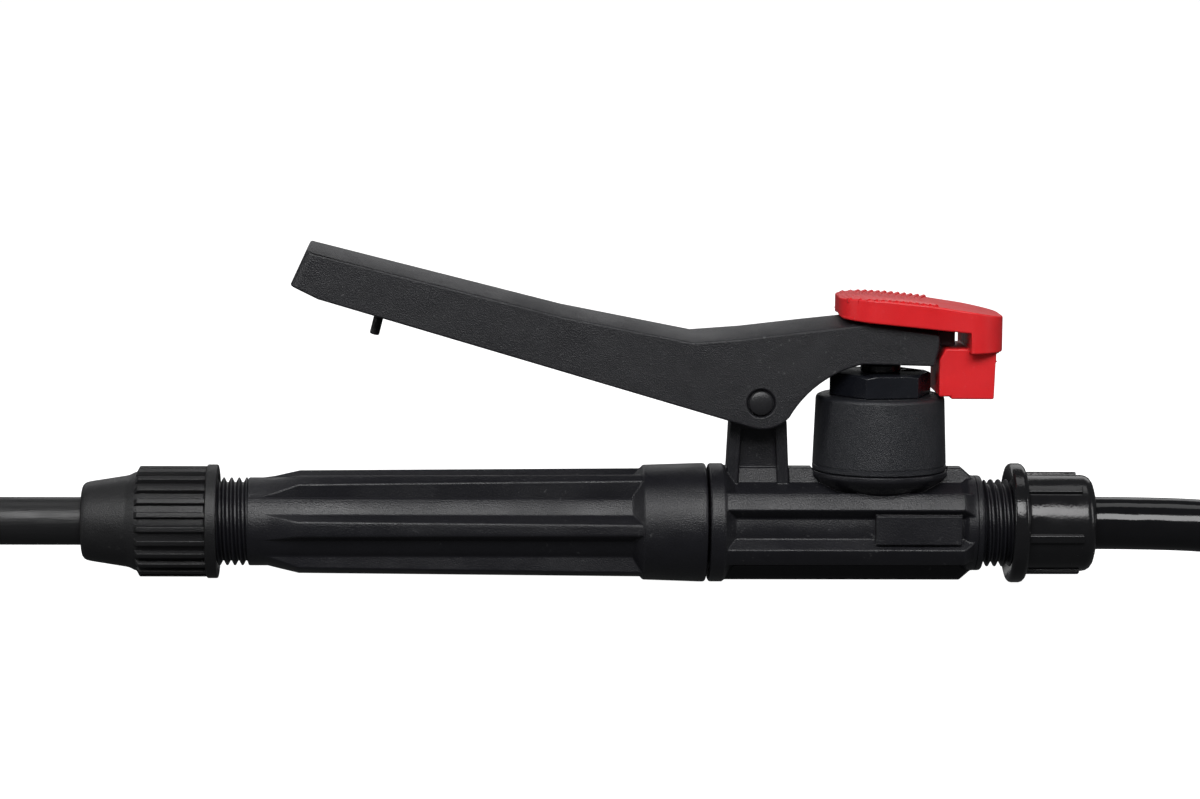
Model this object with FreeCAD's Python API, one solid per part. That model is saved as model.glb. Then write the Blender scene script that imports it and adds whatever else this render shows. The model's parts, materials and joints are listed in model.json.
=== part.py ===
"""Trigger shut-off valve, lance and hose of a backpack sprayer, one solid per piece.

Millimetres, +Z up. While it is modelled, X = 0 is the axis of the valve stem and
Z = 0 is the axis of the barrel; +X points to the hose and -Y to the front. At the
end everything moves together, so that the origin lies under the middle of the
object on the surface that it stands on.
"""
import FreeCAD, Part
import math
import os
from FreeCAD import Vector

# ---------------------------------------------------------------- fits and walls
running_gap = 0.05        # radial clearance of a shaft that turns or slides
loose_gap = 0.30          # clearance between pieces that pass without a fit
thread_gap = 0.12         # radial play of a nut over thread crests
face_gap = 0.10           # axial play under a nut's shoulder

# ---------------------------------------------------------------- pipe threads
thread_major_r = 20.955 / 2      # G 1/2 pipe thread
thread_minor_r = 18.631 / 2
thread_pitch = 1.814

# ---------------------------------------------------------------- barrel, grip half
core_r = 10.5             # round core between the flutes
bore_r = 4.0              # liquid passage
grip_length = 105.9       # neck to parting face
grip_left_land_r = 12.64
grip_right_land_r = 13.55
grip_collar_length = 13.5
grip_collar_left_r = 13.75
grip_collar_r = 14.2
grip_taper_length = 9.1   # pointed left ends of the lands
flute_run_out = 2.7       # slanted end wall of a flute
land_count = 6
grip_land_top = 3.0
grip_land_base = 5.7
grip_thread_length = 22.6
spigot_r = 9.5
spigot_length = 18.0
strainer_r = 6.3
strainer_length = 46.0
strainer_wall = 1.2
screen_wall = 0.3

# ---------------------------------------------------------------- barrel, valve half
parting_x = -41.5
parting_gap = 0.5
body_collar_length = 3.5
body_collar_r = 14.17
body_land_r = 13.67
body_land_top = 4.4
body_land_base = 5.8
body_land_end = 19.5      # right end of the lands
body_chamfer_length = 2.9
body_neck_r = 11.4
body_neck_end = 24.5
rear_thread_start = 25.2
rear_thread_end = 43.5
pad_length = 20.5
pad_centre_x = 8.5
pad_height = 7.0
pad_face = 12.8

# ---------------------------------------------------------------- valve works
seat_top = 7.0
seat_r = 3.2
seat_rim_r = 4.6
lower_chamber_r = 6.6
chamber_floor = 12.0
port_x = 9.0
port_r = 2.2
boss_low = 8.0
boss_high = 13.0
boss_low_r = 11.0
upstand_r = 12.2
upstand_wall = 1.8
upstand_top = 22.0
bonnet_bottom_r = 16.0
bonnet_top_r = 15.36
bonnet_top = 31.0
bonnet_roof = 2.6
gland_shank_r = 8.4
gland_shank_length = 4.4
gland_hex_flats = 21.8
gland_hex_height = 5.5
gland_hex_turn = 9.5
stem_r = 3.0
stem_neck_r = 2.5
stem_collar_r = 4.8
stem_collar_height = 1.9
stem_head_r = 4.6
stem_head_height = 2.1
stem_foot_r = 5.2
stem_foot_height = 2.0
washer_height = 1.5
seal_section = 1.9
spring_wire_r = 0.55
spring_mean_r = 4.5
spring_turns = 6

# ---------------------------------------------------------------- lever and its pivot
pivot_x = -29.3
pivot_z = 30.0
pin_r = 2.0
pin_head_r = 2.9
pin_recess_r = 3.3
pin_recess_depth = 0.9
post_depth = 7.8
post_web = 3.6
post_leg = 2.7
post_top_width = 13.5
post_foot_width = 15.1
post_foot_z = 8.0
lever_wall = 2.2
lever_crown = 2.0
lever_tail_width = 22.0
lever_nose_width = 20.0
lever_boss_r = 5.4
lifter_r = 1.8
lifter_crest_z = 42.9
lifter_gap = 6.0
tongue_end = 17.0
tongue_low = 43.3
tongue_high = 46.9
tongue_width = 12.0
peg_x = -119.0
peg_r = 1.15
peg_length = 6.7          # below the edge of the cheeks
peg_root_depth = 12.0     # from that edge up into the roof
squeeze_degrees = 15.0

# ---------------------------------------------------------------- hold-open slider
lock_left = -10.7
lock_right = 28.4
lock_width = 26.0
lock_end_r = 9.0
lock_wall_x = 20.0        # wall that the lever's tongue points at
lock_skirt_low = 42.0
lock_leg_left = 13.05
lock_leg_right = 26.5
lock_leg_low = 30.9
lock_leg_width = 18.0
lock_play = 0.8           # air between the lever's crown and the cap

# ---------------------------------------------------------------- hose and its nuts
nut_flange_height = 2.75  # above the nut's body
nut_flange_length = 4.0
nut_wall = 0.9525         # over the thread crests
nut_length = 20.4
nut_rib_width = 2.0
nut_rib_height = 0.85
nut_rib_count = 6
nut_exposed_thread = 5.8  # thread left bare before the hose nut
hose_r = 6.3
tail_flange_r = 9.0
tail_flange_length = 2.0
tail_length = 24.0
tail_bore_r = 2.8
barb_count = 3
barb_height = 0.25
hose_washer_length = 1.5
tie_thickness = 0.6
tie_width = 9.0
near_tie_share = 0.35     # place of each strap along the hank
far_tie_share = 0.92

# ---------------------------------------------------------------- lance and nozzle
lance_r = 5.7
lance_wall = 1.4
lance_length = 350.0
lance_socket_depth = 8.0
lance_nut_exposed = 10.2  # neck and thread left bare at the left
lance_nut_length = 32.2
lance_nut_flange_height = 1.05
lance_nut_flange_length = 2.9
lance_nut_rib_height = 0.7
lance_nut_wall = 1.9025   # over the thread crests
lance_nut_rib_count = 24
lance_nut_rib_length = 15.5
lance_nut_cone_r = 10.96
lance_nut_nose_r = 9.46
ferrule_r = 8.6
ferrule_length = 4.0
lance_seal_length = 3.0
nozzle_cap_r = 10.0
nozzle_cap_length = 20.0
nozzle_cap_rib_count = 18
nozzle_cap_wall = 1.6
nozzle_body_r = 8.2
nozzle_sleeve_length = 16.0
nozzle_thread_length = 13.0
orifice_r = 0.6

# ---------------------------------------------------------------- places worked out
body_left_x = parting_x + parting_gap
grip_left_x = parting_x - grip_length
grip_end_x = grip_left_x - grip_thread_length
lance_nut_mouth_x = grip_left_x - lance_nut_exposed
lance_nut_end_x = lance_nut_mouth_x - lance_nut_length
lance_start_x = grip_end_x + lance_socket_depth
lance_end_x = lance_start_x - lance_length
nozzle_tip_x = lance_end_x - nozzle_thread_length - 4.5
hose_nut_mouth_x = rear_thread_start + nut_exposed_thread
hose_nut_end_x = hose_nut_mouth_x + nut_length
tail_flange_x = rear_thread_end + hose_washer_length
hose_start_x = tail_flange_x + tail_flange_length + face_gap
nut_bore_r = thread_major_r + thread_gap
nut_body_r = nut_bore_r + nut_wall
nut_flange_r = nut_body_r + nut_flange_height
nut_rib_r = nut_body_r + nut_rib_height
lance_nut_root_r = nut_bore_r + lance_nut_wall
lance_nut_rib_r = lance_nut_root_r + lance_nut_rib_height
lance_nut_flange_r = lance_nut_root_r + lance_nut_flange_height
collar_top_z = bonnet_top + gland_hex_height + 0.1 + stem_collar_height
object_centre_x = (nozzle_tip_x + tail_flange_x + tail_flange_length + tail_length) / 2
floor_z = -nut_flange_r

# The hose lies in a hank of two loops, one on the other, right of the valve.
hank_left_x = 134.0
hank_run = 190.0
hank_bend_r = 38.0
hank_y = 29.0
hank_levels = 2
hank_low_z = floor_z + tie_thickness + hose_r
coupling_shift = Vector(127.0, 93.0, 0)
lead_route = [(hose_start_x, 0, 0), (66.0, 0, 0), (84.0, -0.6, -0.8), (104.0, -3.2, -3.6), (120.0, -6.6, -6.2),
              (138.0, -9.0, hank_low_z)]
hank_top_z = hank_low_z + 2 * hose_r
end_route = [(321.0, 67.0, hank_top_z), (293.1, 67.0, hank_top_z), (263.8, 73.3, 3.8), (233.5, 86.8, 1.2),
             (204.2, 93.0, 0), (hose_start_x + 127.0, 93.0, 0)]


# ---------------------------------------------------------------- drawing helpers
def turned(points, axis="x"):
    """Closed solid of revolution from (along, radius) points about the X or the Z axis."""
    if axis == "x":
        corners = [Vector(a, 0, r) for a, r in points]
        direction = Vector(1, 0, 0)
    else:
        corners = [Vector(r, 0, a) for a, r in points]
        direction = Vector(0, 0, 1)
    wire = Part.makePolygon(corners + [corners[0]])
    return Part.Face(wire).revolve(Vector(0, 0, 0), direction, 360)


def rod(x0, x1, radius, bore=0.0):
    """Round bar along X, with an optional bore."""
    bar = Part.makeCylinder(radius, x1 - x0, Vector(x0, 0, 0), Vector(1, 0, 0))
    if bore > 0:
        bar = bar.cut(Part.makeCylinder(bore, x1 - x0, Vector(x0, 0, 0), Vector(1, 0, 0)))
    return bar


def upright(z0, z1, radius, x=0.0, bore=0.0):
    """Round bar along Z at a place on the barrel, with an optional bore."""
    bar = Part.makeCylinder(radius, z1 - z0, Vector(x, 0, z0), Vector(0, 0, 1))
    if bore > 0:
        bar = bar.cut(Part.makeCylinder(bore, z1 - z0, Vector(x, 0, z0), Vector(0, 0, 1)))
    return bar


def crossbar(y0, y1, radius, x, z):
    """Round bar along Y."""
    return Part.makeCylinder(radius, y1 - y0, Vector(x, y0, z), Vector(0, 1, 0))


def slab(points, half_width):
    """Side outline in X and Z, extruded evenly to both sides of the middle plane."""
    corners = [Vector(x, -half_width, z) for x, z in points]
    face = Part.Face(Part.makePolygon(corners + [corners[0]]))
    return face.extrude(Vector(0, 2 * half_width, 0))


def block(x0, x1, y0, y1, z0, z1):
    """Rectangular block between two corners."""
    return Part.makeBox(x1 - x0, y1 - y0, z1 - z0, Vector(x0, y0, z0))


def lands(x0, x1, low_r, high_r, base, top, count, first_degrees):
    """Ring of trapezium bars along X; the first is turned up from the front."""
    slope = (base - top) / (high_r - low_r)
    deep = low_r - 1.5
    far = high_r + 0.6
    half_deep = (base + slope * 1.5) / 2
    half_far = max(top - slope * 0.6, 0.2) / 2
    section = [Vector(x0, -half_deep, deep), Vector(x0, half_deep, deep),
               Vector(x0, half_far, far), Vector(x0, -half_far, far)]
    bar = Part.Face(Part.makePolygon(section + [section[0]])).extrude(Vector(x1 - x0, 0, 0))
    bars = []
    for number in range(count):
        copy = bar.copy()
        turn = first_degrees + number * 360 / count
        copy.rotate(Vector(0, 0, 0), Vector(1, 0, 0), 90 - turn)
        bars.append(copy)
    return bars


def thread_points(x0, x1, crest_r, pitch):
    """Zigzag outline of thread crests between two places on X, left to right."""
    root_r = crest_r - 0.62 * pitch
    count = int((x1 - x0) / pitch)
    points = []
    for number in range(count):
        left = x0 + number * pitch
        points.append((left, root_r))
        points.append((left + 0.42 * pitch, crest_r))
        points.append((left + 0.58 * pitch, crest_r))
    points.append((x0 + count * pitch, root_r))
    points.append((x1, root_r))
    return points


def fused(first, others):
    """Union with the seams between coplanar faces taken out."""
    return first.fuse(others).removeSplitter()


def hose_tube(route, radius):
    """Tube along straight runs joined by tangent arcs, as large as the runs allow."""
    points = [Vector(*point) for point in route]
    edges = []
    start = points[0]
    for before, corner, after in zip(points, points[1:], points[2:]):
        incoming = (corner - before).normalize()
        outgoing = (after - corner).normalize()
        half_turn = incoming.getAngle(outgoing) / 2
        back = 0.45 * min((corner - before).Length, (after - corner).Length)
        bend_r = back / math.tan(half_turn)
        arc_in = corner - incoming * back
        arc_out = corner + outgoing * back
        inward = (outgoing - incoming).normalize()
        middle = corner + inward * (bend_r / math.cos(half_turn) - bend_r)
        edges.append(Part.LineSegment(start, arc_in).toShape())
        edges.append(Part.Arc(arc_in, middle, arc_out).toShape())
        print("hose bend radius %.0f mm, %.1f diameters" % (bend_r, bend_r / (2 * radius)))
        start = arc_out
    edges.append(Part.LineSegment(start, points[-1]).toShape())
    path = Part.Wire(edges)
    heading = (points[1] - points[0]).normalize()
    section = Part.Wire(Part.makeCircle(radius, points[0], heading))
    tube = path.makePipeShell([section], True, False)
    print("tube volume %.0f, section times length %.0f" % (tube.Volume, math.pi * radius ** 2 * path.Length))
    return tube


# ---------------------------------------------------------------- barrel
def grip_barrel():
    """Fluted grip with a male thread at its left and a socket for the valve at its right."""
    end_x = parting_x
    collar_x = end_x - 1.5 - grip_collar_length
    outline = [(grip_end_x, 0)]
    outline += thread_points(grip_end_x, grip_left_x - 3.3, thread_major_r, thread_pitch)
    outline += [(grip_left_x - 3.3, core_r), (collar_x - flute_run_out, core_r),
                (collar_x - 0.3, grip_collar_left_r - 0.3), (collar_x, grip_collar_left_r),
                (end_x - 1.5, grip_collar_r), (end_x - 0.4, grip_collar_r), (end_x, grip_collar_r - 0.5),
                (end_x, 0)]
    barrel = turned(outline)
    bars = lands(grip_left_x, collar_x + 2, core_r, (grip_left_land_r + grip_right_land_r) / 2,
                 grip_land_base, grip_land_top, land_count, 0)
    limit = turned([(grip_left_x, 0), (grip_left_x, core_r - 0.4),
                    (grip_left_x + grip_taper_length, grip_left_land_r),
                    (collar_x + 2, grip_right_land_r), (collar_x + 2, 0)])
    barrel = fused(barrel, [bar.common(limit) for bar in bars])
    socket_x = end_x - spigot_length - 3.0
    hollow = [rod(grip_end_x, end_x, bore_r), rod(grip_end_x, lance_start_x, lance_r + running_gap),
              rod(socket_x - strainer_length, end_x, strainer_r + loose_gap),
              rod(socket_x, end_x, spigot_r + running_gap)]
    return barrel.cut(hollow)


def strainer_cage():
    """Open cage that carries the screen inside the grip."""
    right = parting_x - spigot_length - 3.0
    left = right - strainer_length + 0.5
    inner = strainer_r - strainer_wall
    cage = rod(left, right, strainer_r).cut(rod(left + 2, right, inner))
    cage = cage.cut(rod(left + 5, right - 4, strainer_r + 1, inner - 1))
    staves = lands(left + 4, right - 3, inner + 0.1, strainer_r, 1.6, 1.6, 4, 45)
    ring = rod(left + 4, right - 3, strainer_r, inner)
    return fused(cage, [stave.common(ring) for stave in staves])


def strainer_screen():
    """Fine screen sleeve inside the cage."""
    right = parting_x - spigot_length - 3.0
    outer = strainer_r - strainer_wall - 0.02
    return rod(right - strainer_length + 2.6, right - 0.1, outer, outer - screen_wall)


def barrel_seal():
    """Flat ring that the spigot presses against the bottom of the grip's socket."""
    right = parting_x - spigot_length
    return rod(right - 2.9, right - 0.1, spigot_r - 0.1, strainer_r - strainer_wall)


# ---------------------------------------------------------------- valve body
def post():
    """Post for the lever's pivot: two flaring legs, a thin web and a round head."""
    half_top = post_top_width / 2
    half_foot = post_foot_width / 2
    low = post_foot_z
    outline = [(pivot_x - half_foot, low), (pivot_x + half_foot, low),
               (pivot_x + half_top, pivot_z - 5), (pivot_x - half_top, pivot_z - 5)]
    legs = slab(outline, post_depth / 2)
    legs = fused(legs, [crossbar(-post_depth / 2, post_depth / 2, half_top, pivot_x, pivot_z)])
    window = [(pivot_x - half_foot + post_leg, low), (pivot_x + half_foot - post_leg, low),
              (pivot_x + half_top - post_leg, pivot_z - 7), (pivot_x - half_top + post_leg, pivot_z - 7)]
    recess = slab(window, post_depth)
    recess = recess.cut(block(pivot_x - 20, pivot_x + 20, -post_web / 2, post_web / 2, 0, pivot_z))
    legs = legs.cut(recess)
    return legs.cut(crossbar(-post_depth, post_depth, pin_r + running_gap, pivot_x, pivot_z))


def valve_body():
    """Cross piece of the valve: fluted barrel, post, boss, upstand, spigot and rear thread."""
    left = body_left_x
    collar_end = left + body_collar_length
    outline = [(parting_x - spigot_length, 0), (parting_x - spigot_length, spigot_r), (left, spigot_r),
               (left, body_collar_r - 0.5), (left + 0.4, body_collar_r), (collar_end, body_collar_r),
               (collar_end + flute_run_out, core_r), (body_land_end, core_r),
               (body_land_end + 1.2, body_neck_r), (body_neck_end, body_neck_r),
               (body_neck_end + 0.4, thread_major_r - 0.8), (rear_thread_start, thread_major_r - 0.8)]
    outline += thread_points(rear_thread_start, rear_thread_end, thread_major_r, thread_pitch)
    outline += [(rear_thread_end, 0)]
    barrel = turned(outline)
    bars = lands(left + 1, body_land_end + body_chamfer_length, core_r, body_land_r,
                 body_land_base, body_land_top, land_count, 30)
    limit = turned([(left + 1, 0), (left + 1, body_land_r), (body_land_end, body_land_r),
                    (body_land_end + body_chamfer_length, body_neck_r - 0.3),
                    (body_land_end + body_chamfer_length, 0)])
    boss = turned([(boss_low - 4, 0), (boss_low - 4, boss_low_r - 2), (boss_low, boss_low_r),
                   (boss_low + 2.2, boss_low_r + 3.6), (boss_high - 1.2, bonnet_bottom_r + 0.1),
                   (boss_high, bonnet_bottom_r + 0.1), (boss_high, 0)], "z")
    upstand = upright(boss_high - 1, upstand_top, upstand_r)
    pad = block(pad_centre_x - pad_length / 2, pad_centre_x + pad_length / 2, -pad_face, -core_r + 2,
                -pad_height / 2, pad_height / 2)
    body = fused(barrel, [bar.common(limit) for bar in bars] + [boss, upstand, pad, post()])
    chamber_r = upstand_r - upstand_wall
    tools = [rod(parting_x - spigot_length, 3.0, bore_r), rod(port_x - 2.5, rear_thread_end, bore_r),
             upright(-1, seat_top, seat_r), upright(0, chamber_floor + 1, port_r, port_x),
             upright(seat_top - 1.2, chamber_floor + 1, lower_chamber_r, 0, seat_rim_r),
             upright(seat_top, chamber_floor + 1, lower_chamber_r), upright(chamber_floor, upstand_top, chamber_r),
             upright(boss_high, bonnet_top, bonnet_bottom_r + loose_gap, 0, upstand_r)]
    return body.cut(tools)


def bonnet():
    """Screwed cover over the valve chamber."""
    room = upstand_r + running_gap
    outline = [(boss_high + 0.15, room), (boss_high + 0.15, bonnet_bottom_r), (boss_high + 0.9, bonnet_bottom_r),
               (bonnet_top - 0.5, bonnet_top_r), (bonnet_top, bonnet_top_r - 0.5),
               (bonnet_top, gland_shank_r + running_gap), (bonnet_top - bonnet_roof, gland_shank_r + running_gap),
               (bonnet_top - bonnet_roof, upstand_r - upstand_wall), (upstand_top + 0.2, upstand_r - upstand_wall),
               (upstand_top + 0.2, room)]
    return turned(outline, "z")


def hexagon(flats, z0, z1, turn_degrees):
    """Upright hexagonal bar; one flat's normal is turned from the front."""
    corner_r = flats / math.sqrt(3)
    corners = []
    for number in range(6):
        angle = math.radians(-90 + turn_degrees + 30 + 60 * number)
        corners.append(Vector(corner_r * math.cos(angle), corner_r * math.sin(angle), z0))
    return Part.Face(Part.makePolygon(corners + [corners[0]])).extrude(Vector(0, 0, z1 - z0))


def gland_nut():
    """Hexagon nut in the bonnet; it guides the stem and holds its seal."""
    low = bonnet_top - gland_shank_length
    high = bonnet_top + gland_hex_height
    head = hexagon(gland_hex_flats, bonnet_top + 0.05, high, gland_hex_turn)
    corner_r = gland_hex_flats / math.sqrt(3)
    head = head.common(turned([(bonnet_top, 0), (bonnet_top, corner_r), (high - 0.5, corner_r),
                               (high, corner_r - 1.2), (high, 0)], "z"))
    nut = fused(head, [upright(low, bonnet_top + 1, gland_shank_r)])
    pocket = upright(low, low + seal_section + 0.2, stem_r + seal_section + 0.1)
    return nut.cut([upright(low, high, stem_r + running_gap), pocket])


def stem_seal():
    """Ring seal between the stem and the gland nut."""
    low = bonnet_top - gland_shank_length + 0.1
    return upright(low, low + seal_section, stem_r + seal_section, 0, stem_r + 0.02)


def valve_stem():
    """Stem with a foot for the washer, a dust collar and a head that the lever lifts."""
    foot = seat_top + running_gap + washer_height
    collar = bonnet_top + gland_hex_height + 0.1
    head = lifter_crest_z + 0.1
    top = head + stem_head_height
    outline = [(foot - washer_height + 0.3, 0), (foot - washer_height + 0.3, 1.4), (foot, 1.4), (foot, stem_foot_r),
               (foot + stem_foot_height, stem_foot_r), (foot + stem_foot_height, stem_r), (collar, stem_r),
               (collar, stem_collar_r), (collar_top_z, stem_collar_r), (collar_top_z, stem_neck_r),
               (head, stem_neck_r), (head, stem_head_r), (top - 0.4, stem_head_r), (top, stem_head_r - 0.4), (top, 0)]
    return turned(outline, "z")


def valve_washer():
    """Rubber washer that closes the seat."""
    low = seat_top + running_gap
    return upright(low, low + washer_height, stem_foot_r + 0.3, 0, 1.4)


def return_spring():
    """Compression spring between the stem's foot and the gland nut."""
    low = seat_top + running_gap + washer_height + stem_foot_height + spring_wire_r
    high = bonnet_top - gland_shank_length - spring_wire_r - 0.02
    pitch = (high - low) / spring_turns
    helix = Part.makeHelix(pitch, high - low, spring_mean_r)
    helix.translate(Vector(0, 0, low))
    start = Vector(spring_mean_r, 0, low)
    heading = Vector(0, 2 * math.pi * spring_mean_r, pitch).normalize()
    section = Part.Wire(Part.makeCircle(spring_wire_r, start, heading))
    return Part.Wire(helix.Edges).makePipeShell([section], True, True)


# ---------------------------------------------------------------- lever
# Upper edge of the lever's cheeks from the tail to the nose, and the width there.
lever_edge = [(-142.0, 66.7, lever_tail_width), (-76.4, 50.3, lever_tail_width), (-45.5, 44.3, lever_tail_width),
              (-33.6, 45.2, lever_tail_width), (-19.3, 46.9, lever_nose_width + 1), (-3.8, 48.6, lever_nose_width),
              (14.0, 45.9, lever_nose_width)]


def crowned(inset, drop, crown):
    """Space under the lever's crowned top, narrowed and lowered by the given amounts."""
    wires = []
    for x, z, width in lever_edge:
        half = width / 2 - inset
        low_left = Vector(x, -half, 0)
        high_left = Vector(x, -half, z - drop)
        summit = Vector(x, 0, z - drop + crown)
        high_right = Vector(x, half, z - drop)
        low_right = Vector(x, half, 0)
        arch = Part.Arc(high_left, summit, high_right).toShape()
        sides = [Part.makeLine(low_left, high_left), arch, Part.makeLine(high_right, low_right),
                 Part.makeLine(low_right, low_left)]
        wires.append(Part.Wire(sides))
    return Part.makeLoft(wires, True, True)


def lever_side():
    """Side view of the cheeks: straight under the fingers, round about the pivot, arched over the bonnet."""
    lobe_r = 6.19
    lean = math.radians(16.4)
    tangent = Vector(pivot_x - lobe_r * math.sin(lean), 0, pivot_z - lobe_r * math.cos(lean))
    lobe_low = Vector(pivot_x + 3.3, 0, pivot_z - 5.75)
    lobe_end = Vector(pivot_x + 6.9, 0, pivot_z - 3.3)
    arch_middle = Vector(-16.0, 0, 34.1)
    arch_end = Vector(-5.0, 0, 39.2)
    tail_low = Vector(-133.6, 0, 54.2)
    tail_corner = Vector(-140.1, 0, 57.4)
    tail_high = Vector(-135.4, 0, 67.5)
    tail_top = Vector(-135.4, 0, 80.0)
    nose_top = Vector(12.9, 0, 80.0)
    nose_high = Vector(12.9, 0, 43.5)
    nose_low = Vector(11.7, 0, 38.8)
    edges = [Part.makeLine(tail_high, tail_corner), Part.makeLine(tail_corner, tail_low),
             Part.makeLine(tail_low, tangent), Part.Arc(tangent, lobe_low, lobe_end).toShape(),
             Part.Arc(lobe_end, arch_middle, arch_end).toShape(), Part.makeLine(arch_end, nose_low),
             Part.makeLine(nose_low, nose_high), Part.makeLine(nose_high, nose_top),
             Part.makeLine(nose_top, tail_top), Part.makeLine(tail_top, tail_high)]
    half = lever_tail_width
    face = Part.Face(Part.Wire(edges))
    face.translate(Vector(0, -half, 0))
    return face.extrude(Vector(0, 2 * half, 0))


def peg():
    """Round peg that stands square on the lever's underside near its tail."""
    lean = math.radians(13.9)
    down = Vector(-math.sin(lean), 0, -math.cos(lean))
    root = Vector(peg_x, 0, 51.4)
    return Part.makeCylinder(peg_r, peg_length + peg_root_depth, root - down * peg_root_depth, down)


def lever():
    """Squeeze lever: a crowned channel with pivot bosses, lifting fingers, tongue and peg."""
    shell = lever_side().common(crowned(0, 0, lever_crown))
    room = crowned(lever_wall, lever_wall, lever_crown)
    span = [(-137.6, 60.0), (-133.2, 67.0), (-133.2, 80.0), (10.4, 80.0), (10.4, 20.0), (-60.0, 20.0), (-137.6, 50.0)]
    room = room.common(slab(span, lever_tail_width))
    shell = shell.cut(room)
    inner = lever_tail_width / 2 - 1.0
    grip_of_post = post_depth / 2 + loose_gap
    nose_inner = lever_nose_width / 2 - 1.0
    extras = []
    for side in (-1, 1):
        near, far = sorted((side * grip_of_post, side * inner))
        extras.append(crossbar(near, far, lever_boss_r, pivot_x, pivot_z))
        near, far = sorted((side * lifter_gap / 2, side * nose_inner))
        centre = lifter_crest_z - lifter_r
        extras.append(crossbar(near, far, lifter_r, 0, centre))
    extras.append(block(9.5, tongue_end, -tongue_width / 2, tongue_width / 2, tongue_low, tongue_high))
    room_height = crowned(lever_wall / 2, lever_wall / 2, lever_crown)
    extras.append(peg().common(room_height))
    shell = fused(shell, extras)
    tools = [crossbar(-20, 20, pin_r, pivot_x, pivot_z)]
    half = lever_width_at(pivot_x) / 2
    for side in (-1, 1):
        near, far = sorted((side * (half - pin_recess_depth), side * (half + 1)))
        tools.append(crossbar(near, far, pin_recess_r, pivot_x, pivot_z))
    return shell.cut(tools)


def lever_width_at(x):
    """Width of the lever over its cheeks at a place on X."""
    for (x0, z0, width0), (x1, z1, width1) in zip(lever_edge, lever_edge[1:]):
        if x0 <= x <= x1:
            return width0 + (width1 - width0) * (x - x0) / (x1 - x0)
    return lever_tail_width


def pivot_pin():
    """Pin with a round head in each cheek's recess."""
    half = lever_width_at(pivot_x) / 2
    inside = half - pin_recess_depth + 0.02
    pin = crossbar(-inside, inside, pin_r, pivot_x, pivot_z)
    heads = [crossbar(inside, half + 0.3, pin_head_r, pivot_x, pivot_z),
             crossbar(-half - 0.3, -inside, pin_head_r, pivot_x, pivot_z)]
    return fused(pin, heads)


# ---------------------------------------------------------------- hold-open slider
def lock_plan():
    """Upright block with the slider's rounded outline seen from above."""
    half = lock_width / 2
    plan = block(lock_left, lock_right, -half, half, 20, 70)
    upright_edges = []
    for edge in plan.Edges:
        if abs(edge.BoundBox.ZLength - 50) < 0.01:
            upright_edges.append(edge)
    return plan.makeFillet(lock_end_r, upright_edges)


def lock_slider():
    """Red slider: crowned cap over the lever's nose, end wall and a leg beside the gland nut."""
    cap_low = [(lock_left - 1, 50.0), (-5.4, 49.4), (15.0, 47.4), (lock_wall_x, 46.9)]
    skirt = [(lock_wall_x, lock_skirt_low), (lock_right + 1, lock_skirt_low), (lock_right + 1, 50.3)]
    roof = [(20.0, 52.0), (10.0, 53.5), (0.0, 54.5), (-6.0, 54.8), (lock_left - 1, 54.8)]
    cap = slab(cap_low + skirt + roof, lock_width).common(lock_plan())
    air = lock_play
    side_gap = loose_gap + 0.4
    half = lever_nose_width / 2 + side_gap
    over_lever = crowned(-side_gap, -air, lever_crown)
    over_lever = over_lever.common(block(lock_left - 2, lever_edge[-1][0], -half, half, 40, 70))
    past_lever = slab([(lever_edge[-1][0] - 1.2, 40.0), (lever_edge[-1][0] - 1.2, 48.1 + air), (lock_wall_x, 47.6),
                       (lock_wall_x, 40.0)], half)
    room = fused(over_lever, [past_lever])
    cap = cap.cut(room)
    leg_half = lock_leg_width / 2
    leg_top = tongue_low - 0.4
    step_x = bonnet_top_r + 0.5
    leg = slab([(lock_leg_left, bonnet_top + 0.5), (step_x, bonnet_top + 0.5), (step_x, lock_leg_low),
                (lock_leg_right - 0.4, lock_leg_low), (lock_leg_right, lock_skirt_low + 1),
                (lock_leg_left + 1.4, leg_top), (lock_leg_left, leg_top - 2.6)], leg_half)
    bridge = slab([(lock_wall_x, leg_top - 3), (lock_leg_right, leg_top - 3), (lock_leg_right, 48.0),
                   (lock_wall_x, 48.0)], leg_half)
    return fused(cap, [leg, bridge])


# ---------------------------------------------------------------- hose end
def union_nut(bore_radius):
    """Winged nut that clamps a hose tail to a thread, with its mouth at the left."""
    mouth = hose_nut_mouth_x
    end = hose_nut_end_x
    body_x = mouth + nut_flange_length
    nut = turned([(mouth, 0), (mouth, nut_flange_r - 0.7), (mouth + 0.7, nut_flange_r),
                  (body_x - 1.2, nut_flange_r), (body_x - 0.3, nut_flange_r - 0.7), (body_x, nut_body_r),
                  (end - 2.4, nut_body_r), (end - 0.9, nut_body_r - 0.7), (end, nut_body_r - 2.6), (end, 0)])
    ribs = lands(body_x - 0.5, end - 3.4, nut_body_r, nut_rib_r, nut_rib_width + 0.4, nut_rib_width,
                 nut_rib_count, -10)
    limit = turned([(body_x - 0.5, 0), (body_x - 0.5, nut_rib_r), (end - 3.9, nut_rib_r),
                    (end - 3.4, nut_body_r - 0.3), (end - 3.4, 0)])
    nut = fused(nut, [rib.common(limit) for rib in ribs])
    shoulder = tail_flange_x + tail_flange_length + face_gap
    hollow = [rod(mouth, rear_thread_end, bore_radius), rod(rear_thread_end, shoulder, nut_bore_r - 0.4),
              rod(mouth, end, hose_r + loose_gap)]
    return nut.cut(hollow)


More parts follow.
